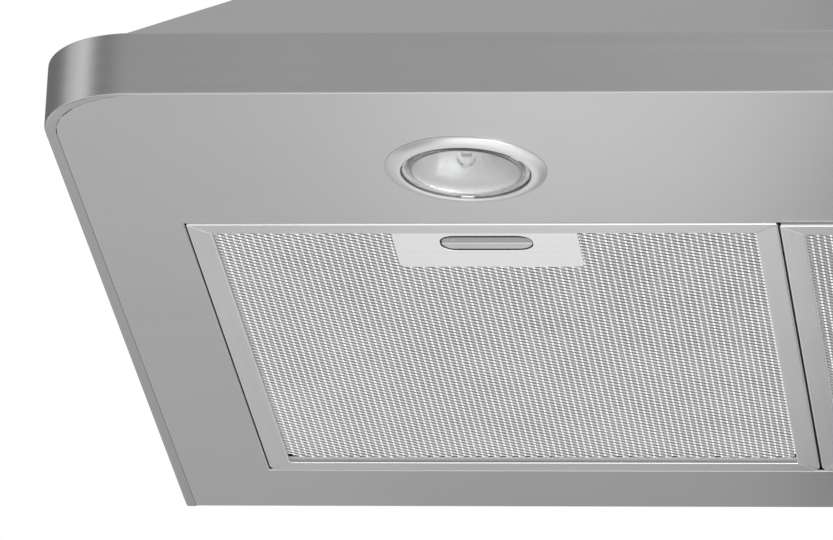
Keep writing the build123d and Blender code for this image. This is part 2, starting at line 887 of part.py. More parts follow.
# Blower plate: closes the neck and carries the blower below and the duct collar above
scroll_front = scroll_rear + 3 * scroll_growth
throat_front_y = fan_y - scroll_front
throat_half = housing_half - housing_wall
screw_front_y = throat_front_y - housing_wall - throat_flange / 2
screw_rear_y = fan_y + housing_wall + throat_flange / 2
blower_screw_places = [
    (side * blower_screw_spread / 2, y) for side in (-1, 1) for y in (screw_front_y, screw_rear_y)
]
with BuildPart() as blower_plate:
    with BuildSketch(level(neck_top)):
        with Locations((0, -seam)):
            Rectangle(neck_width - 2 * seam, neck_depth - 2 * seam, align=REAR)
        with Locations((0, (throat_front_y + fan_y) / 2)):
            Rectangle(2 * throat_half, fan_y - throat_front_y, mode=Mode.SUBTRACT)
        with Locations(*blower_screw_places):
            Circle(blower_screw_radius + run_gap, mode=Mode.SUBTRACT)
        with Locations((gland_x, -gland_setback)):
            Circle(gland_thread + run_gap, mode=Mode.SUBTRACT)
    extrude(amount=sheet)
save(blower_plate, "blower_plate")

with BuildPart() as blower_screws:
    with BuildSketch(level(plate_top)):
        with Locations(*blower_screw_places):
            RegularPolygon(blower_screw_head, 6)
    extrude(amount=blower_screw_head_height)
    with BuildSketch(level(plate_top)):
        with Locations(*blower_screw_places):
            Circle(blower_screw_radius)
    extrude(amount=-blower_screw_length)
save(blower_screws, "blower_screws")


# Blower housing: a scroll in two halves, wound in three quarter turns that grow towards the outlet
def draw_scroll():
    """Inside of the scroll in the sketch in hand: outlet wall, three arcs, and the throat's other side."""
    top = up(neck_top)
    centre = up(fan_centre_height)
    big = scroll_rear + 2 * scroll_growth
    middle = scroll_rear + scroll_growth
    with BuildLine() as outline:
        outlet = Line((throat_front_y, top), (throat_front_y, centre + scroll_growth))
        front = RadiusArc(outlet @ 1, (fan_y - scroll_growth, centre - middle), -big)
        rear = RadiusArc(front @ 1, (fan_y + scroll_rear, centre), -middle)
        tip = RadiusArc(rear @ 1, (fan_y, centre + scroll_rear), -scroll_rear)
        Polyline(tip @ 1, (fan_y, top), outlet @ 0)
    make_face(outline.edges())


for side, half_name in ((-1, "left"), (1, "right")):
    with BuildPart() as half:
        with BuildSketch(section(side * seam / 2)):
            draw_scroll()
            offset(amount=housing_wall, kind=Kind.INTERSECTION)
        extrude(amount=side * (housing_half - seam / 2))
        with BuildSketch(section(0)):
            draw_scroll()
        extrude(amount=side * throat_half, mode=Mode.SUBTRACT)
        # everything above the throat's top goes, and a flange is left under the blower plate
        with BuildSketch(level(neck_top)):
            with Locations((0, fan_y)):
                Rectangle(4 * housing_half, 4 * housing_half)
        extrude(amount=2 * housing_wall, mode=Mode.SUBTRACT)
        with BuildSketch(level(neck_top)):
            with Locations((side * seam / 2, throat_front_y - housing_wall - throat_flange)):
                Rectangle(
                    housing_half + throat_flange - seam / 2,
                    fan_y - throat_front_y + 2 * (housing_wall + throat_flange),
                    align=(Align.MIN if side > 0 else Align.MAX, Align.MIN),
                )
            with Locations((0, throat_front_y)):
                Rectangle(2 * throat_half, fan_y - throat_front_y, align=LOW, mode=Mode.SUBTRACT)
            with Locations(*blower_screw_places):
                Circle(blower_screw_radius + run_gap, mode=Mode.SUBTRACT)
        extrude(amount=-housing_wall)
        # the inlet has a raised bell round it
        with BuildSketch(section(side * housing_half)):
            with Locations((fan_y, up(fan_centre_height))):
                Circle(inlet_radius + inlet_bell)
                Circle(inlet_radius, mode=Mode.SUBTRACT)
        extrude(amount=side * inlet_bell)
        with BuildSketch(section(side * (housing_half + inlet_bell))):
            with Locations((fan_y, up(fan_centre_height))):
                Circle(inlet_radius)
        extrude(amount=-side * (housing_wall + inlet_bell + over), mode=Mode.SUBTRACT)
    save(half, f"blower_half_{half_name}")

# Impeller: forward-curved blades between two end rings, on a disc and hub in the middle
fan_plane = Plane(origin=(0, fan_y, up(fan_centre_height)), x_dir=(0, 1, 0), z_dir=(1, 0, 0))


def polar(radius, angle):
    return (radius * cos(radians(angle)), radius * sin(radians(angle)))


blade_inner = impeller_radius - blade_chord
blade_turn = degrees(blade_sheet / impeller_radius)
with BuildPart() as impeller:
    with BuildSketch(fan_plane):
        with PolarLocations(0, blade_count):
            with BuildLine():
                face_arc = ThreePointArc(
                    polar(blade_inner, 0),
                    polar(blade_inner + blade_chord / 2, blade_curl),
                    polar(impeller_radius, blade_lean),
                )
                Line(face_arc @ 1, polar(impeller_radius, blade_lean + blade_turn))
                back_arc = ThreePointArc(
                    polar(impeller_radius, blade_lean + blade_turn),
                    polar(blade_inner + blade_chord / 2, blade_curl + blade_turn),
                    polar(blade_inner, blade_turn),
                )
                Line(back_arc @ 1, face_arc @ 0)
            make_face()
    extrude(amount=impeller_half, both=True)
    for ring_x in (-impeller_half, impeller_half - ring_sheet):
        with BuildSketch(fan_plane.offset(ring_x)):
            Circle(impeller_radius)
            Circle(blade_inner, mode=Mode.SUBTRACT)
        extrude(amount=ring_sheet)
    with BuildSketch(fan_plane.offset(-disc_sheet / 2)):
        Circle(impeller_radius)
        Circle(shaft_radius, mode=Mode.SUBTRACT)
    extrude(amount=disc_sheet)
    with BuildSketch(fan_plane.offset(disc_sheet / 2 - hub_length)):
        Circle(hub_radius)
        Circle(shaft_radius, mode=Mode.SUBTRACT)
    extrude(amount=hub_length)
save(impeller, "impeller")

with BuildPart() as motor_shaft:
    shaft_start = disc_sheet / 2 - hub_length
    with BuildSketch(fan_plane.offset(shaft_start)):
        Circle(shaft_radius)
    extrude(amount=housing_half - shaft_start - 2 * run_gap)
save(motor_shaft, "motor_shaft")

# Motor: a can with domed caps, inside the right half of the impeller
motor_start = disc_sheet / 2 + motor_gap
with BuildPart() as motor:
    with BuildSketch(fan_plane.offset(motor_start + motor_cap)):
        Circle(motor_radius)
    extrude(amount=housing_half - motor_start - 2 * motor_cap)
    for cap_x, cap_way in ((motor_start + motor_cap, -1), (housing_half - motor_cap, 1)):
        with BuildSketch(fan_plane.offset(cap_x)):
            Circle(motor_radius)
        extrude(amount=cap_way * motor_cap, taper=motor_cap_taper)
    with BuildSketch(fan_plane.offset(motor_start)):
        Circle(shaft_radius + run_gap)
    extrude(amount=housing_half - motor_start, mode=Mode.SUBTRACT)
save(motor, "motor")

# Motor bracket: a spider over the right inlet that holds the motor
bracket_reach = inlet_radius + inlet_bell + bracket_lap
with BuildPart() as motor_bracket:
    with BuildSketch(fan_plane.offset(housing_half + inlet_bell)):
        Circle(bracket_disc_radius)
        with PolarLocations(0, bracket_arms, start_angle=90):
            Rectangle(bracket_reach, bracket_arm, align=(Align.MIN, Align.CENTER))
    extrude(amount=bracket_sheet)
    with BuildSketch(fan_plane.offset(housing_half)):
        with PolarLocations(bracket_reach, bracket_arms, start_angle=90):
            Rectangle(bracket_lap - fit_gap, bracket_arm, align=(Align.MAX, Align.CENTER))
        Circle(bracket_pad_radius)
    extrude(amount=inlet_bell)
save(motor_bracket, "motor_bracket")

# Duct collar: a low plenum on the blower plate with a round spigot, and a ledge for the dampers
plenum_top = plate_top + plenum_height
collar_bore = collar_radius - collar_wall
damper_level = plenum_top + damper_lift
collar_plane = level(0).shift_origin((0, 0, up(0)))
with BuildPart() as duct_collar:
    with BuildSketch(level(plate_top)):
        with Locations((0, collar_y)):
            Rectangle(plenum_width, plenum_depth)
    extrude(amount=plenum_height)
    with BuildSketch(level(plenum_top)):
        with Locations((0, collar_y)):
            Circle(collar_radius)
    extrude(amount=collar_height)
    with BuildSketch(level(plate_top)):
        with Locations((0, collar_y)):
            Rectangle(plenum_width - 2 * collar_wall, plenum_depth - 2 * collar_wall)
    extrude(amount=plenum_height - collar_wall, mode=Mode.SUBTRACT)
    with BuildSketch(level(plenum_top - collar_wall)):
        with Locations((0, collar_y)):
            Circle(collar_bore - damper_ledge)
    extrude(amount=collar_wall + collar_height, mode=Mode.SUBTRACT)
    with BuildSketch(level(plenum_top + damper_ledge_sheet)):
        with Locations((0, collar_y)):
            Circle(collar_bore)
    extrude(amount=collar_height, mode=Mode.SUBTRACT)
    # holes for the damper pins
    with BuildSketch(section(-collar_radius - over)):
        with Locations(*[(collar_y + s * damper_pin_spread / 2, up(damper_level)) for s in (-1, 1)]):
            Circle(damper_pin_radius + run_gap)
    extrude(amount=2 * (collar_radius + over), mode=Mode.SUBTRACT)
save(duct_collar, "duct_collar")

with BuildPart() as damper_pins:
    with BuildSketch(section(fit_gap - collar_radius)):
        with Locations(*[(collar_y + s * damper_pin_spread / 2, up(damper_level)) for s in (-1, 1)]):
            Circle(damper_pin_radius)
    extrude(amount=2 * (collar_radius - fit_gap))
save(damper_pins, "damper_pins")

sleeve_radius = damper_pin_radius + run_gap + damper_sleeve
damper_radius = collar_bore - damper_edge_gap
for side, flap_name in ((-1, "front"), (1, "rear")):
    pin_y = collar_y + side * damper_pin_spread / 2
    sleeve_half = (collar_bore**2 - (damper_pin_spread / 2 + sleeve_radius) ** 2) ** 0.5 - damper_edge_gap
    with BuildPart() as flap:
        with BuildSketch(level(plenum_top + damper_ledge_sheet + fit_gap)):
            with Locations((0, collar_y)):
                Circle(damper_radius)
            with Locations((0, pin_y)):
                Rectangle(
                    2 * collar_radius,
                    2 * collar_radius,
                    align=(Align.CENTER, Align.MIN if side > 0 else Align.MAX),
                    mode=Mode.INTERSECT,
                )
        extrude(amount=damper_sheet)
        with BuildSketch(level(plenum_top + damper_ledge_sheet + fit_gap)):
            with Locations((0, pin_y)):
                Rectangle(2 * sleeve_half, 2 * damper_sleeve)
        extrude(amount=damper_level - plenum_top - damper_ledge_sheet - fit_gap)
        with BuildSketch(section(-sleeve_half)):
            with Locations((pin_y, up(damper_level))):
                Circle(sleeve_radius)
        extrude(amount=2 * sleeve_half)
        with BuildSketch(section(-sleeve_half)):
            with Locations((pin_y, up(damper_level))):
                Circle(damper_pin_radius + run_gap)
        extrude(amount=2 * sleeve_half, mode=Mode.SUBTRACT)
    save(flap, f"damper_flap_{flap_name}")

# Electrics: the junction box and the run capacitor on the back plate, and the cord gland in the
# blower plate
with BuildPart() as junction_box:
    with BuildSketch(level(junction_level)):
        with Locations((-junction_side, back_y - sheet)):
            Rectangle(junction_width, junction_depth, align=REAR)
    extrude(amount=junction_height)
    lid_edges = junction_box.faces().sort_by(Axis.Y)[0].edges()
    fillet(lid_edges, sheet)
save(junction_box, "junction_box")

with BuildPart() as capacitor:
    with BuildSketch(section(capacitor_side)):
        with Locations((back_y - sheet - fit_gap - capacitor_radius, up(capacitor_level))):
            Circle(capacitor_radius)
    extrude(amount=capacitor_length)
    chamfer(capacitor.faces().sort_by(Axis.X)[-1].edges(), 2 * sheet)
save(capacitor, "capacitor")

with BuildPart() as cord_gland:
    with BuildSketch(level(plate_top)):
        with Locations((gland_x, -gland_setback)):
            RegularPolygon(gland_hex, 6)
    extrude(amount=gland_flange)
    with BuildSketch(level(plate_top + gland_flange)):
        with Locations((gland_x, -gland_setback)):
            Circle(gland_hex - over)
    extrude(amount=gland_dome, taper=gland_dome_taper)
    with BuildSketch(level(plate_top)):
        with Locations((gland_x, -gland_setback)):
            Circle(gland_thread)
    extrude(amount=-gland_tail)
    with BuildSketch(level(neck_top - fit_gap)):
        with Locations((gland_x, -gland_setback)):
            RegularPolygon(gland_hex, 6)
    extrude(amount=-gland_flange)
    with BuildSketch(level(plate_top + gland_flange + gland_dome)):
        with Locations((gland_x, -gland_setback)):
            Circle(gland_bore)
    extrude(amount=-gland_flange - gland_dome - gland_tail, mode=Mode.SUBTRACT)
save(cord_gland, "cord_gland")

# Chimney covers: U-shaped sheets. The lower one stands round the neck, the upper one slides inside it
lower_inside = neck_width + 2 * fit_gap
lower_front = neck_depth + fit_gap
with BuildPart() as chimney_lower:
    with BuildSketch(level(neck_base)):
        Rectangle(lower_inside + 2 * chimney_sheet, lower_front + chimney_sheet, align=REAR)
        with Locations((0, over)):
            Rectangle(lower_inside, lower_front + over, align=REAR, mode=Mode.SUBTRACT)
    extrude(amount=chimney_lower_height)
    # the rear edges are turned in above the blower plate
    with BuildSketch(level(plate_top + fit_gap)):
        for side in (-1, 1):
            with Locations((side * (lower_inside - chimney_return) / 2, 0)):
                Rectangle(chimney_return, chimney_sheet, align=REAR)
    extrude(amount=neck_base + chimney_lower_height - plate_top - fit_gap)
save(chimney_lower, "chimney_lower")

upper_outside = lower_inside - 2 * slide_gap
upper_front = lower_front - slide_gap
upper_bottom = plate_top + fit_gap
upper_top = upper_bottom + chimney_upper_height
with BuildPart() as chimney_upper:
    with BuildSketch(level(upper_bottom)):
        with Locations((0, -chimney_sheet - slide_gap)):
            Rectangle(upper_outside, upper_front - chimney_sheet - slide_gap, align=REAR)
        with Locations((0, over)):
            Rectangle(
                upper_outside - 2 * chimney_sheet,
                upper_front - chimney_sheet + over,
                align=REAR,
                mode=Mode.SUBTRACT,
            )
    extrude(amount=chimney_upper_height)
    # vent slots near the top of both sides
    with BuildSketch(section(-neck_width)):
        for step in range(vent_count):
            with Locations((collar_y, up(upper_top - vent_top - step * vent_pitch))):
                SlotOverall(vent_length, vent_height)
    extrude(amount=2 * neck_width, mode=Mode.SUBTRACT)
save(chimney_upper, "chimney_upper")

# Ceiling bracket: screwed to the wall, with two ears inside the upper cover
bracket_half = upper_outside / 2 - chimney_sheet - fit_gap
bracket_bottom = upper_top - ceiling_bracket_drop - ceiling_bracket_height
with BuildPart() as ceiling_bracket:
    with BuildSketch(level(bracket_bottom)):
        Rectangle(2 * bracket_half, ceiling_bracket_sheet, align=REAR)
        for side in (-1, 1):
            with Locations((side * (bracket_half - ceiling_bracket_sheet / 2), 0)):
                Rectangle(ceiling_bracket_sheet, ceiling_bracket_ear, align=REAR)
    extrude(amount=ceiling_bracket_height)
    with BuildSketch(elevation(0)):
        with Locations(
            *[
                (side * ceiling_screw_spacing / 2, up(bracket_bottom + ceiling_bracket_height / 2))
                for side in (-1, 1)
            ]
        ):
            Circle(ceiling_screw_hole / 2)
    extrude(amount=ceiling_bracket_sheet, mode=Mode.SUBTRACT)
save(ceiling_bracket, "ceiling_bracket")
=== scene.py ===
# %% [markdown]
# # A wall mount range hood, seen from below
# A range hood is folded sheet steel hung over a cooker: a low band with round corners, a sloping canopy above
# it, and an underside with mesh filters and two lamps. A measured model of it already exists, with every fold
# in its place but with plain faces. This lesson keeps that model as a fixed frame and dresses it: the sheets
# get rounded folds, the filters get real expanded mesh, the lamps get glass and chrome, and every piece gets a
# finish. Loading the frame first means that each new piece can be put exactly where its plain one is.

import bmesh
import bpy
import numpy as np
from mathutils import Matrix, Vector


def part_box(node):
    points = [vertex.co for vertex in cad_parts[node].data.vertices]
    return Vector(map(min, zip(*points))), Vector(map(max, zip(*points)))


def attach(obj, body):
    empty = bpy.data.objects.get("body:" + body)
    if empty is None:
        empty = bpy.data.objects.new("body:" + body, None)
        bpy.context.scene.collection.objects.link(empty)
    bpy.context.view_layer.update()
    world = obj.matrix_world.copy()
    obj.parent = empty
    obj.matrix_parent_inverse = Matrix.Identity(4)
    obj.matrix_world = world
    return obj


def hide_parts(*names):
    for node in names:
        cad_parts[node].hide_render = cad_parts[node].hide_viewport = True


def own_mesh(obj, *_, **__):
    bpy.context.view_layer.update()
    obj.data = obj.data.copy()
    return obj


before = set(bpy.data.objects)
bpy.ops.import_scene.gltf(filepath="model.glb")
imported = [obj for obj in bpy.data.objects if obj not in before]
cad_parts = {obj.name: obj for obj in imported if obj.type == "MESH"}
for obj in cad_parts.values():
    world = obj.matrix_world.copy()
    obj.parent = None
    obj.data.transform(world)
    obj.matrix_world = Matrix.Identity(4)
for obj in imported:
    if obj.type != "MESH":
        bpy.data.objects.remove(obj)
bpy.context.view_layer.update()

# %% [markdown]
# ## Working in millimetres
# Sheet metal is drawn in millimetres, and Blender works in metres. Sizes are therefore written in millimetres,
# with heights counted from the underside of the bottom panel, because that is the face a viewer looks at. One
# function turns them into the frame's metres at the very end.

# %% Millimetres to metres
MM = 0.001
UNDERSIDE = -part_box("bottom_panel")[0].z / MM


def place(x, y, h):
    """Millimetres to the right, towards the wall and above the underside, stacked into metres. The frame's z is
    the height less the distance from the wall rail's screws down to the underside."""
    x, y, h = np.broadcast_arrays(x, y, h)
    return np.stack([x, y, h - UNDERSIDE], axis=-1) * MM


def box_mm(node):
    """Lowest and highest corner of a node in millimetres, with heights above the underside."""
    return tuple(np.array(corner) / MM + (0, 0, UNDERSIDE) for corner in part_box(node))


print("underside lies", round(UNDERSIDE, 2), "mm below the rail's screws")

# %% [markdown]
# ## Patches: surfaces as tables of corners
# Almost every piece here is a sheet: flat, bent along a line, or turned round an axis. Each can be worked out
# as a table of corners, with one parameter down the rows and one along the columns, and its faces follow from
# the table alone. Each corner also keeps its place along and across the brushing, so that a steel sheet can
# carry its grain round a corner as real brushed sheet does.

# %% Patches
def patch(points, keep=None, flip=False, level=False, grain=None):
    """A table of corners, rows x columns x 3, as (corners, faces, grain). Corner (i, j) is joined to its
    neighbours (i, j+1), (i+1, j+1) and (i+1, j). keep says which cells stay. The grain, where none is given, is
    the distance travelled along each row, and down the rows at the middle column. On a level sheet it simply
    is x and y."""
    rows, columns = points.shape[:2]
    i, j = np.indices((rows - 1, columns - 1))
    if keep is not None:
        i, j = i[keep], j[keep]
    i, j = i.ravel(), j.ravel()
    quads = (np.stack([i, i, i + 1, i + 1]) * columns + np.stack([j, j + 1, j + 1, j])).T
    if level:
        grain = points[..., :2]
    elif grain is None:
        along = np.linalg.norm(np.diff(points, axis=1), axis=2)
        along = np.concatenate([np.zeros((rows, 1)), np.cumsum(along, axis=1)], axis=1)
        along -= along[:, columns // 2][:, None]
        down = np.linalg.norm(np.diff(points[:, columns // 2], axis=0), axis=1)
        down = np.concatenate([[0], np.cumsum(down)])
        grain = np.stack([along, np.broadcast_to(down[:, None], along.shape)], axis=-1)
    return points.reshape(-1, 3), quads[:, ::-1] if flip else quads, grain.reshape(-1, 2)


def cap(points):
    """One many-sided face over a flat loop of corners, to close the end of a profile."""
    return points, np.arange(len(points))[None], points[:, 1:]


def carried(points, keep=None):
    """A closed profile, down the rows, carried along the columns, with a cap on each end."""
    return [patch(points, keep), cap(points[:-1, 0]), cap(points[:-1, -1])]


def build(name, patches, body, slot, material, *replaces, merge=0.004, crease=34):
    """Joins patches into one piece and lets it ride on a body. Unless merge is 0, corners closer than merge
    millimetres become one and the faces are turned outwards. Edges that bend by more than crease degrees stay sharp."""
    starts = np.cumsum([0] + [len(p[0]) for p in patches[:-1]])
    faces = [face for start, p in zip(starts, patches) for face in (p[1] + start).tolist()]
    grain = np.concatenate([p[2] for p in patches])
    mesh = bpy.data.meshes.new(name)
    mesh.from_pydata(np.concatenate([p[0] for p in patches]).tolist(), [], faces)
    corner_of_loop = np.zeros(len(mesh.loops), np.int32)
    mesh.loops.foreach_get("vertex_index", corner_of_loop)
    mesh.uv_layers.new(name="grain").data.foreach_set("uv", grain[corner_of_loop].ravel())
    if merge:
        work = bmesh.new()
        work.from_mesh(mesh)
        bmesh.ops.remove_doubles(work, verts=work.verts, dist=merge * MM)
        bmesh.ops.dissolve_degenerate(work, dist=merge * MM / 4, edges=work.edges)
        bmesh.ops.recalc_face_normals(work, faces=work.faces)
        work.to_mesh(mesh)
        work.free()
    mesh.shade_smooth()
    mesh.set_sharp_from_angle(angle=np.radians(crease))
    piece = bpy.data.objects.new(name, mesh)
    bpy.context.scene.collection.objects.link(piece)
    mesh.materials.append(material)
    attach(piece, body)
    if replaces:
        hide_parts(*replaces)
    print(f"{name}: {len(mesh.vertices)} corners, {len(mesh.polygons)} faces")
    return piece


# %% [markdown]
# ## Folds
# No real fold is a sharp line. The brake that bends the sheet leaves a small radius, and that radius is what
# catches the bright lines along a hood's edges. So each profile is written as a plain polyline, and one
# function rounds its corners.

# %% Rounded folds
FOLD_STEPS = 4
# numbers closer than this are taken as equal, in millimetres
TOUCH = 1e-6


def closed(loop):
    """A loop with its first point repeated at its end."""
    return np.concatenate([loop, loop[:1]])


def rounded(corners, radii, hold=0.25):
    """A closed polyline with arcs for corners. Where two legs meet at a corner of radius r, the arc's centre
    lies on their bisector, r over the sine of the half angle away, and the arc runs between the points where
    it touches the legs. One more point hold mm before and after it keeps the flats flat in the shading. Columns
    past the second are repeated for every point of their corner."""
    corners = np.asarray(corners, float)
    flat, rests = corners[:, :2], corners[:, 2:]
    share = np.linspace(0, 1, FOLD_STEPS + 1)[:, None]
    pieces = []
    for before, corner, after, radius, rest in zip(np.roll(flat, 1, 0), flat, np.roll(flat, -1, 0), radii, rests):
        points = corner[None]
        if radius:
            back = (before - corner) / np.linalg.norm(before - corner)
            on = (after - corner) / np.linalg.norm(after - corner)
            half = np.arccos(np.clip(back @ on, -1, 1)) / 2
            reach = radius / np.tan(half)
            centre = corner + (back + on) / np.linalg.norm(back + on) * radius / np.sin(half)
            start, end = corner + back * reach - centre, corner + on * reach - centre
            turn = np.pi - 2 * half
            arc = centre + (np.sin((1 - share) * turn) * start + np.sin(share * turn) * end) / np.sin(turn)
            points = np.concatenate([points + back * (reach + hold), arc, points + on * (reach + hold)])
        pieces.append(np.column_stack([points, np.tile(rest, (len(points), 1))]))
    return np.concatenate(pieces)


print("a rounded square:", len(rounded([(0, 0), (9, 0), (9, 9), (0, 9)], [1, 1, 1, 1])), "points")

# %% [markdown]
# ## Nodes for finishes
# Every finish is made of nodes, and they all start the same way: a metal or plastic shader, a place on the
# piece, and a few layers of noise that vary its colour, its roughness and its tiny bumps. Small helpers keep
# the recipes short. Noise read from the piece's own grain follows the brushing round a corner, and noise read
# from the object's coordinates suits pieces that have no grain of their own.

# %% Node helpers
def connect(node, inputs):
    """Fills inputs of a node by name or number: a socket is wired to its input, and a value is written there."""
    for key, value in inputs.items():
        if isinstance(value, bpy.types.NodeSocket):
            node.id_data.links.new(value, node.inputs[key])
        else:
            node.inputs[key].default_value = value


def node_adder(tree):
    """A function that adds a node to the tree, with its inputs and its settings."""
    def add(kind, inputs=(), **settings):
        made = tree.nodes.new(kind)
        for key, value in settings.items():
            setattr(made, key, value)
        connect(made, dict(inputs))
        return made

    return add


def new_finish(name):
    """A new material, as two functions. The first adds a node. The second wires a colour, a roughness and the
    height of the bumps to the shader, fills its other inputs, and gives the material."""
    material = bpy.data.materials.new(name)
    material.use_nodes = True
    add = node_adder(material.node_tree)

    def done(colour, rough, height, depth, distance, others):
        bump = add("ShaderNodeBump", {"Height": height, "Strength": depth, "Distance": distance})
        layers = {"Base Color": colour, "Roughness": rough, "Normal": bump.outputs[0]}
        connect(material.node_tree.nodes["Principled BSDF"], layers | others)
        return material

    return add, done


def on_object(add):
    """A place in the object's own coordinates."""
    return add("ShaderNodeTexCoord").outputs["Object"]


def on_grain(add):
    """A place along and across the piece's grain, and the shader's tangent along it."""
    tangent = add("ShaderNodeTangent", direction_type="UV_MAP", uv_map="grain")
    return add("ShaderNodeUVMap", uv_map="grain").outputs[0], tangent.outputs[0]


def noise(add, where, stretch, detail=3.0):
    """Noise over a place, squeezed or stretched first: by one number, or by one for each axis."""
    stretch = stretch if isinstance(stretch, tuple) else (stretch,) * 3
    spread = add("ShaderNodeMapping", {"Vector": where, "Scale": stretch}).outputs[0]
    inputs = {"Vector": spread, "Scale": 1.0, "Detail": detail, "Roughness": 0.55}
    return add("ShaderNodeTexNoise", inputs).outputs["Fac"]


def joined(add, operation, first, second):
    """Two values joined by an operation such as ADD or MAXIMUM."""
    return add("ShaderNodeMath", {0: first, 1: second}, operation=operation).outputs[0]


def span(add, value, low, high, start=0.3, end=0.7):
    """Moves a value's range from start..end to low..high."""
    ends = {"From Min": start, "From Max": end, "To Min": low, "To Max": high}
    return add("ShaderNodeMapRange", {"Value": value} | ends).outputs[0]


def tint(add, value, dark, light):
    """A colour between dark and light as the value goes from 0 to 1."""
    ends = {"Factor": value, 6: (*dark, 1), 7: (*light, 1)}
    return add("ShaderNodeMix", ends, data_type="RGBA").outputs[2]


def shades(colour, dark, light):
    """A darker and a lighter multiple of a colour, the lighter one held at 1."""
    return tuple(c * dark for c in colour), tuple(min(1, c * light) for c in colour)


def clouded(add, first, second, colour, contrast, rough, swing):
    """A colour that varies by the contrast and a roughness that varies by the swing, both with the sum of two
    layers of noise."""
    both = joined(add, "ADD", first, second)
    shade = tint(add, span(add, both, 0, 1, 0.75, 1.25), *shades(colour, 1 - contrast, 1 + contrast))
    return shade, span(add, both, rough - swing, rough + swing, 0.75, 1.25)


print("two shades of mid grey:", shades((0.5,), 0.9, 1.1))

# %% [markdown]
# ## Brushed steel
# The sheets are stainless steel brushed with a belt, so fine scratches all run one way. The scratches are far
# too fine to model. Three layers of stretched noise stand for them: hair-fine lines that tilt the surface a
# little, longer faint streaks that change its roughness, and large soft clouds where the belt pressed harder.
# The shader's anisotropy then spreads each highlight across the scratches.

# %% Brushed steel
# how often noise repeats in a metre, along the scratches and across them
HAIR, STREAK, CLOUD = (18, 5200), (3.0, 320), 7
HAIR_DEPTH, STREAK_SWING = 0.0004, 0.02


def brushed_steel(name, colour, rough, along="grain", spread=0.45, depth=0.06, contrast=0.05):
    """Brushed metal. along is "grain" for a piece with its own grain, or the axis "x", "y" or "z" that the
    scratches follow on a piece without one."""
    add, done = new_finish(name)
    others = {"Metallic": 1.0}
    if along == "grain":
        where, tangent = on_grain(add)
        fine, broad = (*HAIR, 1), (*STREAK, 1)
        others |= {"Tangent": tangent, "Anisotropic": spread}
    else:
        where = on_object(add)
        fine, broad = (tuple(pair[axis != along] for axis in "xyz") for pair in (HAIR, STREAK))
    layers = noise(add, where, broad, detail=4), noise(add, where, CLOUD)
    shade, roughness = clouded(add, *layers, colour, contrast, rough, STREAK_SWING)
    return done(shade, roughness, noise(add, where, fine, detail=2), depth, HAIR_DEPTH, others)


STEEL = (0.53, 0.53, 0.535)
steel_sheet = brushed_steel("canopy steel", STEEL, 0.30, depth=0.03, contrast=0.018)
# painted shade: the lip is the same steel as the sheet, given a darker colour
shaded_lip_steel = brushed_steel("lip steel painted shade", (0.44, 0.44, 0.445), 0.34, depth=0.03, contrast=0.018)
steel_upright = brushed_steel("chimney steel", STEEL, 0.30, along="z", depth=0.03, contrast=0.018)
print("steel finishes:", steel_sheet.name, "and", steel_upright.name)

# %% [markdown]
# ## The canopy
# The canopy is one sheet: a narrow lip turned in under it, a band, a small ledge, the sloping faces, and a neck
# for the blower. In plan every line of it runs from the wall along one side, round a corner, along the front
# and back to the wall. So the whole shell is one profile carried along that path, and each point of the
# profile has its own distance in from the side and from the front, and its own corner radius. The inner face
# is part of the same closed profile, which gives the sheet its thickness.

# %% Canopy outline
HALF_WIDTH = box_mm("canopy_shell")[1][0]
DEPTH = -box_mm("canopy_shell")[0][1]
SHEET = 1.2
BAND_CORNER, BAND_HEIGHT = 43.0, 29.2
WINDOW_HALF, WINDOW_LOW, WINDOW_HIGH = 51, 7.4, 21.4


def round_three_sides(half_x, depth, corner, h_side, h_front, side_marks, front_marks, steps):
    """Corners of a sheet that leaves the wall on the left, turns round the front, and returns on the right.
    Down the left side y is a share of the straight part. Round the corner the point is the corner's centre
    plus its radius at an angle that goes from 0 to 90 degrees. Along the front x is a share of the straight
    part. The right side mirrors the left. The height moves from the side's to the front's round the corner."""
    half_x, depth, corner, h_side, h_front = np.array([half_x, depth, corner, h_side, h_front], float)[..., None]
    centre_x, centre_y = half_x - corner, corner - depth
    side, front = (np.asarray(marks, float)[None] for marks in (side_marks, front_marks))
    angle = np.linspace(0, np.pi / 2, steps + 1)[None, 1:-1]
    bend_h = h_side + (h_front - h_side) * angle / (np.pi / 2)
    left = place(-half_x + 0 * side, centre_y * side, h_side)
    bend = place(-centre_x - corner * np.cos(angle), centre_y - corner * np.sin(angle), bend_h)
    across = place(centre_x * front, -depth, h_front)
    mirror = np.array([-1, 1, 1])
    return np.concatenate([left, bend, across, bend[:, ::-1] * mirror, left[:, ::-1] * mirror], axis=1)


# distance in from the side and from the front, height, fold radius at the side and at the front, plan radius,
# and whether the plan radius shrinks with the distance in
SHELL_FOLDS = np.array([
    (5, 1, 0, 0, 0, 43, 0), (0, 0, 0, 1.3, 0.7, 43, 1), (0, 0, WINDOW_LOW, 0, 0, 43, 0),
    (0, 0, WINDOW_HIGH, 0, 0, 43, 0), (0, 0, BAND_HEIGHT, 0.6, 0.6, 43, 1), (16, 16, BAND_HEIGHT, 0.8, 0.8, 2.2, 0),
    (318, 250, 251.2, 2, 2, 2.2, 0), (318, 250, 263.2, 1, 1, 2.2, 0), (329.2, 261.2, 263.2, 0, 0, 1, 0),
    (329.2, 261.2, 262, 0, 0, 1, 0), (319.2, 251.2, 262, 0, 0, 1, 0), (319.2, 251.2, 251.2, 0, 0, 1, 0),
    (17.8, 17.8, BAND_HEIGHT, 0, 0, 1, 0), (17.8, 17.8, 28, 0, 0, 1, 0), (1.2, 1.2, 28, 0, 0, 41.8, 0),
    (1.2, 1.2, WINDOW_HIGH, 0, 0, 41.8, 0), (1.2, 1.2, WINDOW_LOW, 0, 0, 41.8, 0), (1.2, 1.2, 1.2, 0, 0, 41.8, 0),
    (5, 1, 1.2, 0, 0, 43, 0),
])
inset, side_h, plan_radius, shrinks = closed(rounded(SHELL_FOLDS[:, [0, 2, 5, 6]], SHELL_FOLDS[:, 3])).T
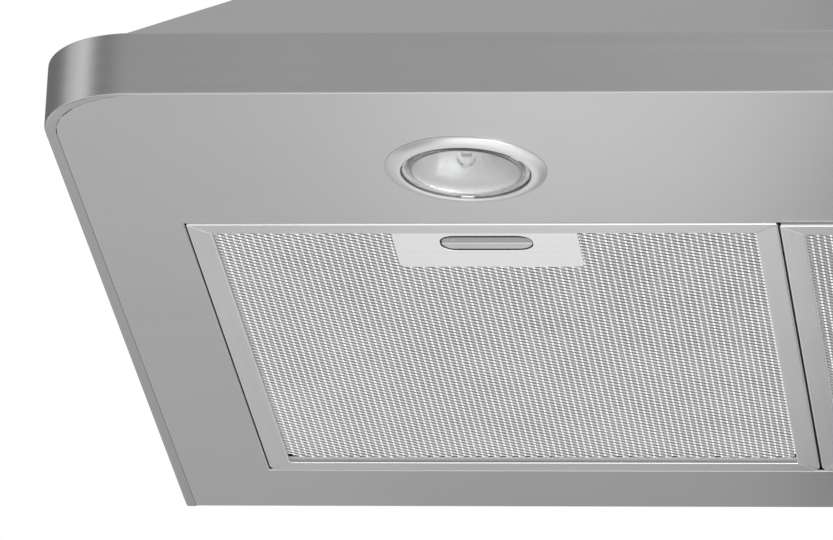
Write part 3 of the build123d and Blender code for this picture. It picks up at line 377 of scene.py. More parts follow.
front_inset, front_h = closed(rounded(SHELL_FOLDS[:, 1:3], SHELL_FOLDS[:, 4], hold=0.1)).T
window = WINDOW_HALF / (HALF_WIDTH - BAND_CORNER)
canopy = round_three_sides(
    HALF_WIDTH - inset, DEPTH - front_inset, plan_radius - shrinks * inset, side_h, front_h,
    np.linspace(0, 1, 5), np.unique(np.concatenate([np.linspace(-1, 1, 13), [-window, window]])), steps=18,
)
print("canopy table:", canopy.shape)

# %% [markdown]
# ## The opening behind the buttons
# The push buttons go through the band. A small window in the sheet, hidden by the plate in front of it, lets them
# through: the cells inside it are left out of the outer and the inner face, and four short strips line its edge. The
# lip turned in under the band gets a duller finish, and a darker colour that is painted shade.

# %% Canopy shell
def middles(values):
    """The value in the middle of each cell along a line of values."""
    return (values[:-1] + values[1:]) / 2


def cells_at(values, level):
    """Cells of a line whose two ends both lie at a level."""
    return (abs(values[:-1] - level) < TOUCH) & (abs(values[1:] - level) < TOUCH)


def run_of(mask):
    """The lines on both sides of a run of cells."""
    cells = np.flatnonzero(mask)
    return cells[0], cells[-1] + 1


mid_h = middles(side_h)
on_band, in_band = (cells_at(inset, level) & (mid_h > WINDOW_LOW) & (mid_h < WINDOW_HIGH) for level in (0, SHEET))
hole_columns = (abs(middles(canopy[0, :, 1]) / MM + DEPTH) < 2) & (abs(middles(canopy[0, :, 0]) / MM) < WINDOW_HALF)
(low_out, high_out), (high_in, low_in), (first, last) = run_of(on_band), run_of(in_band), run_of(hole_columns)
window_edges = [patch(canopy[pair, first:last + 1]) for pair in ([low_out, low_in], [high_out, high_in])]
window_edges += [patch(canopy[[[low_out, high_out], [low_in, high_in]], column]) for column in (first, last)]
solid = ~((on_band | in_band)[:, None] & hole_columns[None])
canopy_shell = build(
    "canopy", carried(canopy, solid) + window_edges, "hood", "brushed_steel", steel_sheet, "canopy_shell",
).data
canopy_shell.materials.append(shaded_lip_steel)
# the lip's faces take the darker steel, which is painted shade
lip_height = canopy_shell.vertices[0].co.z + 0.02 * MM
for face in canopy_shell.polygons:
    face.material_index = int(max(canopy_shell.vertices[v].co.z for v in face.vertices) < lip_height)

# %% [markdown]
# ## The bottom panel
# The underside is one flat sheet with a large opening for the filters and two round holes for the lamps. A flat
# sheet with holes is easiest as a table of lines in x and y: the cells inside the opening are left out, and
# round each lamp a square of cells is swapped for a ring that goes from the square to the circle. The edges
# of the opening and the rear edge are turned up with a small radius, because those radii draw the thin bright
# and dark lines that the eye reads as folded steel.

# %% Panel lines
PANEL_HALF, PANEL_FRONT, PANEL_REAR = 442.9, -498.9, -0.2
OPENING_HALF, OPENING_FRONT, OPENING_REAR = 400.5, -355.5, -49.0
LAMP_X, LAMP_Y, LAMP_HOLE = 266.9, -417.0, 30.0
LAMPS = {"left": -LAMP_X, "right": LAMP_X}
SQUARE = 38.8
SQUARE_MARKS = np.linspace(-SQUARE, SQUARE, 13)
# radius of the turned edges, bevel of the outer edge, and the flat kept between an edge and the next line
FOLD, RIM, HOLD = 0.8, 0.1, 0.3


def panel_lines(inset, opening):
    """Lines of the panel's table. inset moves the outer edge in, and opening moves the aperture's edge out. The
    first seven rows go in equal shares from the front edge, round corners and all, to the lamps' squares."""
    straight, corner = PANEL_HALF - BAND_CORNER, BAND_CORNER - inset
    bend = straight + corner * np.sin(np.radians([12, 24, 36, 46, 64, 76, 90]))
    xs = np.concatenate([
        [0, 120], LAMP_X + SQUARE_MARKS, [360, OPENING_HALF + opening, OPENING_HALF + FOLD + HOLD], bend,
    ])
    xs = np.unique(np.round(np.concatenate([xs, -xs]), 6))
    ys = np.concatenate([
        LAMP_Y + SQUARE_MARKS[1:],
        [OPENING_FRONT - FOLD - HOLD, OPENING_FRONT - opening, -280, -200, -120, OPENING_REAR + opening,
         OPENING_REAR + FOLD + HOLD, PANEL_REAR - FOLD - HOLD, PANEL_REAR - (FOLD if inset else 0)],
    ])
    past = np.clip(abs(xs) - straight, 0, corner)
    front = PANEL_FRONT + BAND_CORNER - np.sqrt(np.maximum(corner**2 - past**2, 0))
    share = np.linspace(0, 1, 7)[:, None]
    rows = [front * (1 - share) + (LAMP_Y - SQUARE) * share, np.broadcast_to(ys[:, None], (len(ys), len(xs)))]
    return np.broadcast_to(xs, (len(share) + len(ys), len(xs))), np.concatenate(rows)


def cells_kept(table_x, table_y):
    """Cells outside the aperture and outside the two squares round the lamps."""
    mid_x = (table_x[:-1, :-1] + table_x[:-1, 1:]) / 2
    mid_y = (table_y[:-1, :-1] + table_y[1:, 1:]) / 2
    inside = (abs(mid_x) < OPENING_HALF) & (mid_y > OPENING_FRONT) & (mid_y < OPENING_REAR)
    lamp = (abs(abs(mid_x) - LAMP_X) < SQUARE) & (abs(mid_y - LAMP_Y) < SQUARE)
    return ~(inside | lamp)


def square_ring(x, h):
    """Ring between the square round a lamp and the lamp's hole. Each point of the circle lies on the line from
    the centre to its point of the square."""
    side = SQUARE_MARKS[:-1]
    edge = np.full_like(side, SQUARE)
    square = np.column_stack([np.concatenate([side, edge, -side, -edge]), np.concatenate([-edge, side, edge, -side])])
    square = closed(square)
    circle = square / np.linalg.norm(square, axis=1)[:, None] * LAMP_HOLE
    return np.stack([place(x + c[:, 0], LAMP_Y + c[:, 1], h) for c in (square, circle)])


low_x, low_y = panel_lines(RIM, FOLD)
top_x, top_y = panel_lines(0.0, 0.0)
kept = cells_kept(low_x, low_y)
print("panel table:", low_x.shape, "with", int(kept.sum()), "cells")

# %% [markdown]
# The lower face, the upper face and the strips between them are made from the same lines, so that they share
# their corners and close into one solid. The rolled edges are quarter circles: at an angle a, the sheet has
# moved r sin a sideways and r (1 - cos a) up.

# %% Panel
lower, upper = place(low_x, low_y, 0), place(top_x, top_y, SHEET)
panel_patches = [patch(face, kept, level=True) for face in (lower, upper)]
for lamp_x in LAMPS.values():
    rings = [square_ring(lamp_x, h) for h in (0, SHEET)]
    panel_patches += [patch(ring, level=True) for ring in rings]
    panel_patches.append(patch(np.stack([rings[0][1], rings[1][1]])))
roll = np.radians([0, 22.5, 45, 67.5, 90])[:, None]
roll_up = FOLD * (1 - np.cos(roll))


def around(xs, ys):
    """Corners round a rectangle from its lines: along the front, up the right, back along the rear, and down."""
    right, rear, left, front = (np.full(len(line), end) for line, end in (
        (ys[1:], xs[-1]), (xs[1:], ys[-1]), (ys[1:], xs[0]), (xs, ys[0])))
    return np.concatenate([xs, right, xs[-2::-1], left]), np.concatenate([front, ys[1:], rear, ys[-2::-1]])


beside = low_y[:, 0]
x_run = low_x[0, abs(low_x[0]) < OPENING_HALF + FOLD + TOUCH]
y_run = beside[(beside > OPENING_FRONT - FOLD - TOUCH) & (beside < OPENING_REAR + FOLD + TOUCH)]
xs, ys = around(x_run, y_run)
to_x, to_y = around(np.clip(x_run, -OPENING_HALF, OPENING_HALF), np.clip(y_run, OPENING_FRONT, OPENING_REAR))
opening_edge = place(xs + (to_x - xs) * np.sin(roll), ys + (to_y - ys) * np.sin(roll), roll_up)
panel_patches.append(patch(np.concatenate([opening_edge, place(to_x, to_y, SHEET)[None]])))
rear_edge = place(low_x[-1], low_y[-1] + FOLD * np.sin(roll), roll_up)
panel_patches.append(patch(np.concatenate([rear_edge, upper[-1:]])))
# the edge that meets the lip: up the left side, along the front, and down the right side
rims = [np.concatenate([table[::-1, 0], table[0, 1:-1], table[:, -1]])
        for table in (lower, place(top_x, top_y, RIM), upper)]
panel_patches.append(patch(np.stack(rims)))
for side in (0, -1):
    panel_patches.append(cap(np.concatenate([rear_edge[:, side], upper[-1:, side], rims[1][[side]]])))
build("bottom_sheet", panel_patches, "hood", "brushed_steel", steel_sheet, "bottom_panel")

# %% [markdown]
# On top of the panel a rim runs along its outer edge and laps over the lip, which carries it. Narrow flanges
# stand up on both sides of the opening and along the rear edge. They are straight strips, so one function for
# a strip is enough, and it serves again wherever a straight tab or tongue is needed.

# %% Panel flanges
def slab(x0, x1, y0, y1, h0, h1):
    """A thin straight strip of sheet as six flat patches, with its grain along its longest edge."""
    low, high = np.array([x0, y0, h0], float), np.array([x1, y1, h1], float)
    size = high - low
    long = np.argmax(size)
    out = []
    for axis in range(3):
        u, v = (a for a in range(3) if a != axis)
        other = u if v == long else v if u == long else (u if size[u] < size[v] else v)
        for end in (low, high):
            grid = np.zeros((2, 2, 3))
            grid[..., axis] = end[axis]
            grid[..., u] = np.array([low[u], high[u]])[:, None]
            grid[..., v] = np.array([low[v], high[v]])[None]
            grid = place(*np.moveaxis(grid, -1, 0))
            out.append(patch(grid, flip=(end is low) == (axis == 1), grain=grid[..., [long, other]]))
    return out


def side_slabs(inner, outer, *rest):
    """Two slabs, on the left and on the right, between two distances from the middle."""
    return slab(-outer, -inner, *rest) + slab(inner, outer, *rest)


# half width, depth, corner radius and height of the rim's profile
SEAT = np.array([(446.6, 498.6, 41.8, 1.2), (446.6, 498.6, 41.8, 2.4), (435, 491, 35, 2.4), (435, 491, 35, 1.2)])
SIDE_FLANGE, REAR_FLANGE, REAR_FLANGE_HALF = 12, 10, 435
seat = closed(SEAT).T
panel_trim = carried(round_three_sides(*seat, seat[3], [0.001, 1], [-1, 1], steps=12))
panel_trim += side_slabs(OPENING_HALF, OPENING_HALF + SHEET, OPENING_FRONT, OPENING_REAR, SHEET, SHEET + SIDE_FLANGE)
panel_trim += slab(-REAR_FLANGE_HALF, REAR_FLANGE_HALF, PANEL_REAR - SHEET, PANEL_REAR, SHEET, SHEET + REAR_FLANGE)
build("bottom_flanges", panel_trim, "hood", "brushed_steel", steel_sheet, crease=30)

# %% [markdown]
# ## Filter frames
# Each filter is held in a channel of bent aluminium with mitred corners. The channel is one profile: a deep
# round-edged hem below, an upright wall, and a lip on top. Carried along the four sides, a point that lies a
# distance w in from the edge starts w past one corner and stops w before the next, which is just what a
# 45 degree mitre does. A shallow groove at each mitre makes the joint visible, and because the grain follows
# each bar, neighbouring bars also catch the light differently there.

# %% Filter frame profile
BAR, HEM_TOP, SLOT_TOP, SLOT_HALF = 10.5, 2.7, 4.3, 12.3
FILTERS = {name: box_mm(f"filter_{name}_frame") for name in ("left", "middle", "right")}
FILTER_X = {name: (low[0] + high[0]) / 2 for name, (low, high) in FILTERS.items()}
FILTER_WIDTH = FILTERS["left"][1][0] - FILTERS["left"][0][0] - 0.3
FILTER_FRONT, FILTER_DEPTH = FILTERS["left"][0][1], 305.5
FILTER_REAR = FILTER_FRONT + FILTER_DEPTH
# how far each outer corner is cut off along one bar and along the other
CORNER_CUTS = {"front": (0.7, 1.8), "rear": (2.6, 4.6)}
GROOVE_WIDTH, GROOVE_DEPTH, REAR_LEAN = 0.34, 0.28, 0.7
# tongues at the rear: distance from the filter's middle, half width, overlap and reach
TONGUE_X, TONGUE_HALF, TONGUE_START, TONGUE_REACH = 80, 9, 0.4, 6
FRAME_FOLDS = np.array([
    (0, -0.3, 0.7), (BAR, -0.3, 0.5), (BAR, HEM_TOP, 0), (1, HEM_TOP, 0), (1, SLOT_TOP, 0), (1, 7.7, 0),
    (8, 7.7, 0), (8, 8.7, 0.3), (0, 8.7, 0.5), (0, SLOT_TOP, 0), (0, HEM_TOP, 0),
])
frame_line = closed(rounded(FRAME_FOLDS[:, :2], FRAME_FOLDS[:, 2], hold=0.15))


def frame_bar(corner, along, length, middle_marks, first_end, last_end):
    """One mitred bar. A profile point w in and h up lies, at a share s of the bar, w + (length - 2 w) s past
    the corner. At both ends the underside is pinched up a little, which leaves a fine groove at the mitre. The
    outer corner is cut off along a line between a point on one bar and a point on the other: whatever lies
    outside that line moves in diagonally until it lies on it."""
    inward = -along[1], along[0]
    w, h = frame_line[:, :1], frame_line[:, 1:]
    cuts = [CORNER_CUTS[end] if along[0] else CORNER_CUTS[end][::-1] for end in (first_end, last_end)]
    first, last = (np.array([0, GROOVE_WIDTH / length, cut[0] / length]) for cut in cuts)
    marks = np.concatenate([first, middle_marks, 1 - last[::-1]])
    past = w + (length - 2 * w) * marks[None]
    pinch = np.isin(marks, (0, 1)) * GROOVE_DEPTH * (h < 0)
    at_start = past < length / 2
    cut_along, cut_in = (np.where(at_start, a, b) for a, b in zip(*cuts))
    outside = 1 - np.where(at_start, past, length - past) / cut_along - w / cut_in
    cut = np.maximum(0, outside) / (1 / cut_along + 1 / cut_in)
    past, inset = past + cut * np.sign(length / 2 - past), w + cut
    x, y = (corner[k] + along[k] * past + inward[k] * inset for k in (0, 1))
    grain = np.stack([past * MM + 0 * w, np.broadcast_to(w, past.shape) * MM + h * MM], axis=-1)
    return place(x, y, h + pinch), grain


def filter_frame(x):
    """Four bars round the filter, a slot for the bolt in the front one, and two tongues at the rear."""
    half = FILTER_WIDTH / 2
    plain = np.array([0.25, 0.5, 0.75])
    slotted = np.unique(np.concatenate([plain, 0.5 + np.array([-SLOT_HALF, SLOT_HALF]) / FILTER_WIDTH]))
    bars = [
        frame_bar((x - half, FILTER_FRONT), (1, 0), FILTER_WIDTH, slotted, "front", "front"),
        frame_bar((x + half, FILTER_FRONT), (0, 1), FILTER_DEPTH, plain, "front", "rear"),
        frame_bar((x + half, FILTER_REAR), (-1, 0), FILTER_WIDTH, plain, "rear", "rear"),
        frame_bar((x - half, FILTER_REAR), (0, -1), FILTER_DEPTH, plain, "rear", "front"),
    ]
    w, h = frame_line.T
    bars[2][0][(w > BAR - 0.01) & (h > HEM_TOP - 0.01), :, 1] -= REAR_LEAN * MM
    wall = (abs(np.diff(w)) < TOUCH) & (w[:-1] < 1.01) & (middles(h) > HEM_TOP) & (middles(h) < SLOT_TOP)
    front_bar = bars[0][0]
    slot_x = (front_bar[0, :, 0] / MM - x) * FILTER_WIDTH / (FILTER_WIDTH - 2 * w[0])
    in_slot = abs(middles(slot_x)) < SLOT_HALF
    patches = [patch(front_bar, ~(wall[:, None] & in_slot[None]), grain=bars[0][1])]
    patches += [patch(points, grain=grain) for points, grain in bars[1:]]
    (inner, outer), (first, last) = np.flatnonzero(wall), run_of(in_slot)
    edges = [front_bar[rows, first:last + 1] for rows in ([inner, outer + 1], [inner + 1, outer])]
    patches += [patch(edge) for edge in edges] + [patch(np.stack([edge[:, k] for edge in edges])) for k in (0, -1)]
    for middle in (x - TONGUE_X, x + TONGUE_X):
        patches += slab(middle - TONGUE_HALF, middle + TONGUE_HALF,
                        FILTER_REAR - TONGUE_START, FILTER_REAR + TONGUE_REACH, 1.5, HEM_TOP)
    return patches


print("filter frame:", len(frame_line), "points round the channel")

# %% [markdown]
# ## Satin aluminium
# The frames are aluminium, lightly brushed along each bar and then anodised, so they are paler and softer than the
# steel round them. The folds of each hem, and the edge of the mitre at the front left, get a paler colour than the
# flats: a painted highlight for the bright lines along the frames' edges.

# %% Frames
# widths of the painted highlight on the outer and inner folds and along the front left mitre, and the heights it lies
# between
OUTER_FOLD, INNER_FOLD, MITRE_HIGHLIGHT = 0.7, 0.5, 0.3
FLAT_BELOW, FOLD_TOP = -0.299, 0.8
aluminium_frame = brushed_steel("frame aluminium", (0.64, 0.64, 0.645), 0.34, spread=0.3, depth=0.05, contrast=0.04)
# painted highlight: a paler copy of the frame's aluminium, for the bright lines along its folds
fold_highlight_aluminium = brushed_steel("fold highlight aluminium", (0.86, 0.86, 0.86), 0.28, spread=0.3, depth=0.03, contrast=0.02)
for name, x_mid in FILTER_X.items():
    channel = build(f"{name}_filter_channel", filter_frame(x_mid), f"filter_{name}", "filter_aluminium",
                    aluminium_frame, f"filter_{name}_frame").data
    channel.materials.append(fold_highlight_aluminium)
    centres = np.zeros(3 * len(channel.polygons), np.float32)
    channel.polygons.foreach_get("center", centres)
    x, y, h = centres.reshape(-1, 3).T / MM
    x, h = x - x_mid, h - (channel.vertices[0].co.z / MM - frame_line[0, 1])
    in_from = np.minimum(FILTER_WIDTH / 2 - abs(x), np.minimum(y - FILTER_FRONT, FILTER_REAR - y))
    # faces on the folds and on the front left mitre's edge take the painted highlight
    folded = (h < FOLD_TOP) & (h > FLAT_BELOW) & ((in_from < OUTER_FOLD) | (abs(in_from - BAR) < INNER_FOLD))
    off_mitre = abs((x + FILTER_WIDTH / 2) - (y - FILTER_FRONT))
    folded |= (h < 0) & (off_mitre < MITRE_HIGHLIGHT) & (in_from < BAR)
    channel.polygons.foreach_set("material_index", folded.astype(np.int32))
    print(name, "filter:", int(folded.sum()), "faces on the folds")

# %% [markdown]
# ## Expanded mesh
# The face of a filter is expanded metal: a sheet is slit in staggered rows and pulled, and each row between
# two slits becomes a strand that zigzags, joined to the row in front at its troughs and to the row behind at
# its peaks. Pulling also tips every strand, so that all of them face the front a little. Seen from below,
# the joints catch the light as bright dots and the strands between them show as paler and darker slants.
# Thousands of cells need a light shape, so each strand is only a three-sided bar that follows the zigzag.

# %% Mesh strands
CELL_X, CELL_Y = 5.9, 3.67
STRAND, TILT, JOINT, BACK = 0.61, np.radians(31), 0.78, 0.31
MESH_MIDDLE = 2.5
BOW, FAN = 0.000475, 0.026
# how far strands run under the bars at the sides and in front, and the spare length for the bowed rows behind
SIDE_LAP, FRONT_LAP, REAR_SPARE = 0.6, 0.4, 12
# strands stay out of the rear corners, and stop this far from the rear bar and behind the plate's edges
CORNER_X, CORNER_Y, REAR_GAP, PLATE_SIDE_LAP, PLATE_REAR_LAP = 2.2, 4, 1.1, 0.6, 1.2
PLATE_HALF, PLATE_END = 42.0, FILTER_FRONT + 54.0


def expanded_mesh(x_mid):
    """Zigzag strands. Row k lies k half cells behind the front bar. Along it a wave of height 1 holds its peak
    and its trough over each joint and runs straight between them, and odd rows are half a cell along. The
    strand's middle moves back by a and up by b times the wave, where 2 a is half a cell less the strand's
    own depth, and b is half its rise, so that peaks of one row just meet troughs of the next. Pulled mesh is
    never quite straight, so its rows bow towards the front on both sides, with the square of the distance."""
    left, right = x_mid - FILTER_WIDTH / 2 + BAR - SIDE_LAP, x_mid + FILTER_WIDTH / 2 - BAR + SIDE_LAP
    start, end = FILTER_FRONT + BAR - FRONT_LAP, FILTER_REAR - BAR + REAR_SPARE
    cells = int((right - left) / CELL_X) + 2
    phase = np.array([-JOINT / 2, JOINT / 2, CELL_X / 2 - JOINT / 2, CELL_X / 2 + JOINT / 2])
    wave = np.tile([1.0, 1.0, -1.0, -1.0], cells)
    x = (left - CELL_X / 2 + np.arange(cells)[:, None] * CELL_X + phase[None]).ravel()
    row = np.arange(int((end - start) / (CELL_Y / 2)))[:, None, None]
    x = np.clip(x[None, None] + (row % 2) * CELL_X / 2, left, right)
    run, rise = STRAND * np.cos(TILT), STRAND * np.sin(TILT)
    top = np.array([0, 0, 1, 0]) * BACK
    section_y = np.array([-0.5, 0.5, 0.0, -0.5]) * run + top * np.sin(TILT)
    section_h = np.array([0.5, -0.5, 0.0, 0.5]) * rise + top * np.cos(TILT)
    bow = -FAN * (x - x_mid) - BOW * (x - x_mid) ** 2
    y = start + (row + 0.5) * CELL_Y / 2 + bow + (CELL_Y / 2 - run) / 2 * wave + section_y[None, :, None]
    h = MESH_MIDDLE + rise / 2 * wave + section_h[None, :, None]
    return np.broadcast_arrays(x, y, h)


def mesh_patch(x_mid):
    """The strands as one patch. Cells behind the latch plate and cells of no length are left out, and a strand
    that stops at the plate is closed with a triangle."""
    x, y, h = expanded_mesh(x_mid)
    points = place(x, y, h)
    rows, around, columns = x.shape
    off_middle = abs((x[:, :-1, :-1] + x[:, :-1, 1:]) / 2 - x_mid)
    front_y, to_rear = y[:, :1, :-1], FILTER_REAR - BAR - y[:, :1, :-1]
    long_enough = (x[:, :-1, 1:] - x[:, :-1, :-1]) > 0.01
    behind = (off_middle < PLATE_HALF - PLATE_SIDE_LAP) & (front_y < PLATE_END - PLATE_REAR_LAP)
    in_corner = (off_middle > FILTER_WIDTH / 2 - BAR - CORNER_X) & (to_rear < CORNER_Y)
    keep = long_enough & ~behind & (front_y > FILTER_FRONT + BAR - 2) & (to_rear > REAR_GAP) & ~in_corner
    index = np.arange(rows * around * columns).reshape(rows, around, columns)
    r, s, c = np.nonzero(keep)
    quads = np.stack([index[r, s + 1, c], index[r, s + 1, c + 1], index[r, s, c + 1], index[r, s, c]], axis=1)
    kept, none = keep[:, 0], np.zeros((rows, 1), bool)
    r0, c0 = np.nonzero(kept & ~np.concatenate([none, kept[:, :-1]], axis=1))
    r1, c1 = np.nonzero(kept & ~np.concatenate([kept[:, 1:], none], axis=1))
    ends = (r0, c0, (0, 1, 2)), (r1, c1 + 1, (0, 2, 1))
    lids = np.concatenate([np.stack([index[r, k, c] for k in order], axis=1) for r, c, order in ends])
    corners, grain = points.reshape(-1, 3), points[..., :2].reshape(-1, 2)
    return [(corners, quads, grain), (corners[:0], lids - len(corners), grain[:0])]


print("mesh cell:", CELL_X, "mm wide and", CELL_Y, "mm deep")

# %% [markdown]
# ## Mesh aluminium
# The strands are bare aluminium, rolled and slit, with a duller skin than the anodised frame. A fine noise
# varies their colour and roughness, and a slower one stands for the light film that a filter gathers.

# %% Mesh finish
def cast_or_rolled(name, colour, rough, metallic=1.0, grain_size=900, contrast=0.08, depth=0.08, bump_size=0.0002,
                   coat=0.0):
    """Metal or paint without a direction: fine speckle in the bumps, slow clouds in colour and roughness."""
    add, done = new_finish(name)
    where = on_object(add)
    speckle = noise(add, where, grain_size, detail=4)
    shade, roughness = clouded(add, speckle, noise(add, where, 25), colour, contrast, rough, 0.05)
    return done(shade, roughness, speckle, depth, bump_size, {"Metallic": metallic, "Coat Weight": coat})


mesh_aluminium = cast_or_rolled("mesh aluminium", (0.70, 0.70, 0.70), 0.26)
for name, x_mid in FILTER_X.items():
    build(f"{name}_filter_mesh", mesh_patch(x_mid), f"filter_{name}", "filter_aluminium", mesh_aluminium,
          f"filter_{name}_face_mesh", merge=0, crease=12)

# %% [markdown]
# ## Latch plate and finger pull
# Near the front of each filter a plain plate covers the latch. A round-ended window in it shows the finger
# pull, a shallow dish with a crease across it, pressed into the sprung slide. The plate is a ring of loops, from
# its outer edge in to the window.

# %% Rounded rectangles
def round_rectangle(x, y, half_x, half_y, front_radius, rear_radius):
    """A closed loop with arcs for corners: each arc runs a quarter turn round its own centre."""
    parts = []
    for turn, (sx, sy) in enumerate(((1, 1), (-1, 1), (-1, -1), (1, -1))):
        radius = rear_radius if sy > 0 else front_radius
        angle = np.linspace(0, np.pi / 2, 9) + turn * np.pi / 2
        parts.append(np.column_stack([x + sx * (half_x - radius) + radius * np.cos(angle),
                                      y + sy * (half_y - radius) + radius * np.sin(angle)]))
    return closed(np.concatenate(parts))


PLATE_LOW, PLATE_START, PLATE_CORNERS = 1.7, FILTER_FRONT + BAR + 0.2, (0.4, 4)
# half width, half depth, and front and rear corner radius of the window
PULL_Y, PULL_WINDOW = FILTER_FRONT + 26.5, (21, 8.5, 7, 7)
# how much each loop's outline grows, and its height over the plate's lower face: from the plate's upper edge
# down and in, and then from there up the window's edge. Both edges are eased.
PLATE_EDGE = ((0, 0.4), (0, 0.12), (-0.12, 0), (-0.5, 0))
WINDOW_EDGE = ((0.7, 0), (0.3, 0), (0.1, 0.05), (0, 0.2), (0, 0.4))
# the crease's lines behind the pull's middle, and heights at its front edge, beside the crease and at its rear
CREASE, PULL_HEIGHTS, SKIRT_TOP = np.array([2.0, 2.2, 2.7, 2.9]), (2.35, 2.98, 2.6, 2.3), 4.2


def latch_plate(x):
    """Loops from the plate's outer edge in to the window and back over the top."""
    y, half_y = (PLATE_START + PLATE_END) / 2, (PLATE_END - PLATE_START) / 2
    front, rear = PLATE_CORNERS
    edge = [(round_rectangle(x, y, PLATE_HALF + grow, half_y + grow, front, rear + grow), h) for grow, h in PLATE_EDGE]
    hole = [(round_rectangle(x, PULL_Y, *(size + grow for size in PULL_WINDOW)), h) for grow, h in WINDOW_EDGE]
    rows = [place(loop[:, 0], loop[:, 1], PLATE_LOW + h) for loop, h in edge + hole + edge[:1]]
    return [patch(np.stack(rows), level=True)]


def finger_slide(x):
    """The slide: a base plate, two feet, the bolt, and the dished pull. The pull is a table of rows from front
    to rear. Its height rises to a crease, drops by a small step and falls again to the rear, and its half width
    at a row is the rectangle's, less what the corner's arc takes off: r less the root of r squared less the
    square of the row's way into the corner."""
    front_y, rear_y, half_x, corner = PULL_Y - 5.4, PULL_Y + 7.5, 20.5, 5.5
    bend = corner * (1 - np.cos(np.radians([0, 18, 36, 54, 72, 90])))
    ys = np.unique(np.concatenate([front_y + bend, PULL_Y + CREASE, rear_y - bend]))
    into = np.maximum(0, corner - np.minimum(ys - front_y, rear_y - ys))
    half = half_x - corner + np.sqrt(corner**2 - into**2)
    hs = np.interp(ys, [front_y, *(PULL_Y + CREASE[1:3]), rear_y], PULL_HEIGHTS)
    points = place(x + half[:, None] * np.linspace(-1, 1, 9)[None], ys[:, None], hs[:, None])
    edge = np.concatenate([points[0], points[1:, -1], points[-1, -2::-1], points[-2::-1, 0]])
    skirt = edge.copy()
    skirt[:, 2] = place(0, 0, SKIRT_TOP)[2]
    patches = [patch(points, level=True), patch(np.stack([edge, skirt])), cap(skirt[:-1])]
    # base plate, left foot, right foot and bolt: from and to along x and y, lower and upper face
    for x0, x1, y0, y1, h0, h1 in ((-31, 31, 12, 43, 4, 5), (-31, -30, 12, 43, 3, 4), (30, 31, 12, 43, 3, 4),
                                   (-12, 12, 0, 13, 3, 4)):
        patches += slab(x + x0, x + x1, FILTER_FRONT + y0, FILTER_FRONT + y1, h0, h1)
    return patches


print("latch plate:", 2 * PLATE_HALF, "mm wide and", round(PLATE_END - PLATE_START, 2), "mm deep")

# %% [markdown]
# ## Latch finish
# The plate is pressed from a paler, smoother sheet than the panel and looks almost white from below. The slide
# under it is plain zinc-plated steel.

# %% Latch pieces
latch_steel = brushed_steel("latch steel", (0.88, 0.88, 0.885), 0.42, spread=0.1, depth=0.03, contrast=0.025)
slide_steel = brushed_steel("slide steel", (0.50, 0.50, 0.505), 0.34, spread=0.2, depth=0.03, contrast=0.02)
for name, x_mid in FILTER_X.items():
    build(f"{name}_latch_cover", latch_plate(x_mid), f"filter_{name}", "filter_aluminium", latch_steel,
          f"filter_{name}_latch_plate")
    build(f"{name}_finger_slide", finger_slide(x_mid), f"latch_{name}", "latch_steel", slide_steel,
          f"filter_{name}_latch_slide")

# %% [markdown]
# ## Turned lamp parts
# A lamp is a set of turned parts round one upright axis: a domed bezel clipped into the panel, a thick glass
# with a bevelled edge, a bright bowl, and a small capsule bulb. Each is a profile of radius and height turned
# through a full circle.

# %% Turning
GRAIN_RADIUS = 30


def swept(x, profile, angle):
    """A profile of (radius, height) pairs at each angle round a lamp's axis: x and y are the radius times the
    cosine and the sine of the angle."""
    r, h = np.hsplit(np.asarray(profile, float), 2)
    return place(x + r * np.cos(angle), LAMP_Y + r * np.sin(angle), h)


def turned(x, profile, turns=96):
    """A profile turned a full circle. Its grain runs round the axis, as a lathe's does."""
    angle = np.linspace(0, 2 * np.pi, turns + 1)
    down = np.concatenate([[0], np.cumsum(np.linalg.norm(np.diff(profile, axis=0), axis=1))])
    grain = np.stack(np.meshgrid(angle * GRAIN_RADIUS * MM, down * MM), axis=-1)
    return [patch(swept(x, profile, angle), grain=grain)]


def arc_through(a, b, c, steps=14):
    """Points on the circle through a, b and c, from a to c. Its centre is where the bisectors of the chords
    a-b and b-c meet."""
    a, b, c = (np.asarray(p, float) for p in (a, b, c))
    centre = np.linalg.solve(2 * np.array([b - a, c - b]), np.array([b @ b - a @ a, c @ c - b @ b]))
    angles = np.unwrap([np.arctan2(*(p - centre)[::-1]) for p in (a, b, c)])
    angle = np.linspace(angles[0], angles[2], steps + 1)
    return centre + np.linalg.norm(a - centre) * np.column_stack([np.cos(angle), np.sin(angle)])


print("an arc through three points:", len(arc_through((0, 0), (1, 1), (2, 0))), "points")

# %% [markdown]
# ## Leaf springs and the play in the middle latch
# Behind each slide a bowed strip of spring steel pushes it forward. Its two long faces follow arcs.
#
# In the photograph the middle filter hangs about a millimetre lower at its front than its neighbours, because
# its latch has play. Its pieces are sheared by that much: the drop grows with the distance from the rear hooks,
# which stay where they are.

# %% Springs
STRIP = 0.5


def leaf_spring(low, high):
    """A strip between two arcs with their ends at the rear corners and their middles at the front."""
    x = (low[0] + high[0]) / 2
    rear = arc_through((low[0], high[1]), (x, low[1] + STRIP), (high[0], high[1]), 24)
    front = arc_through((low[0] + STRIP, high[1] - STRIP), (x, low[1]), (high[0] - STRIP, high[1] - STRIP), 24)
    ring = [(rear, low[2]), (rear, high[2]), (front, high[2]), (front, low[2]), (rear, low[2])]
    return carried(np.stack([place(line[:, 0], line[:, 1], h) for line, h in ring]))


spring_steel = cast_or_rolled("spring steel", (0.52, 0.53, 0.56), 0.26, grain_size=2400)
for name in FILTERS:
    build(f"{name}_leaf_spring", leaf_spring(*box_mm(f"filter_{name}_latch_spring")), f"filter_{name}",
          "latch_steel", spring_steel, f"filter_{name}_latch_spring")

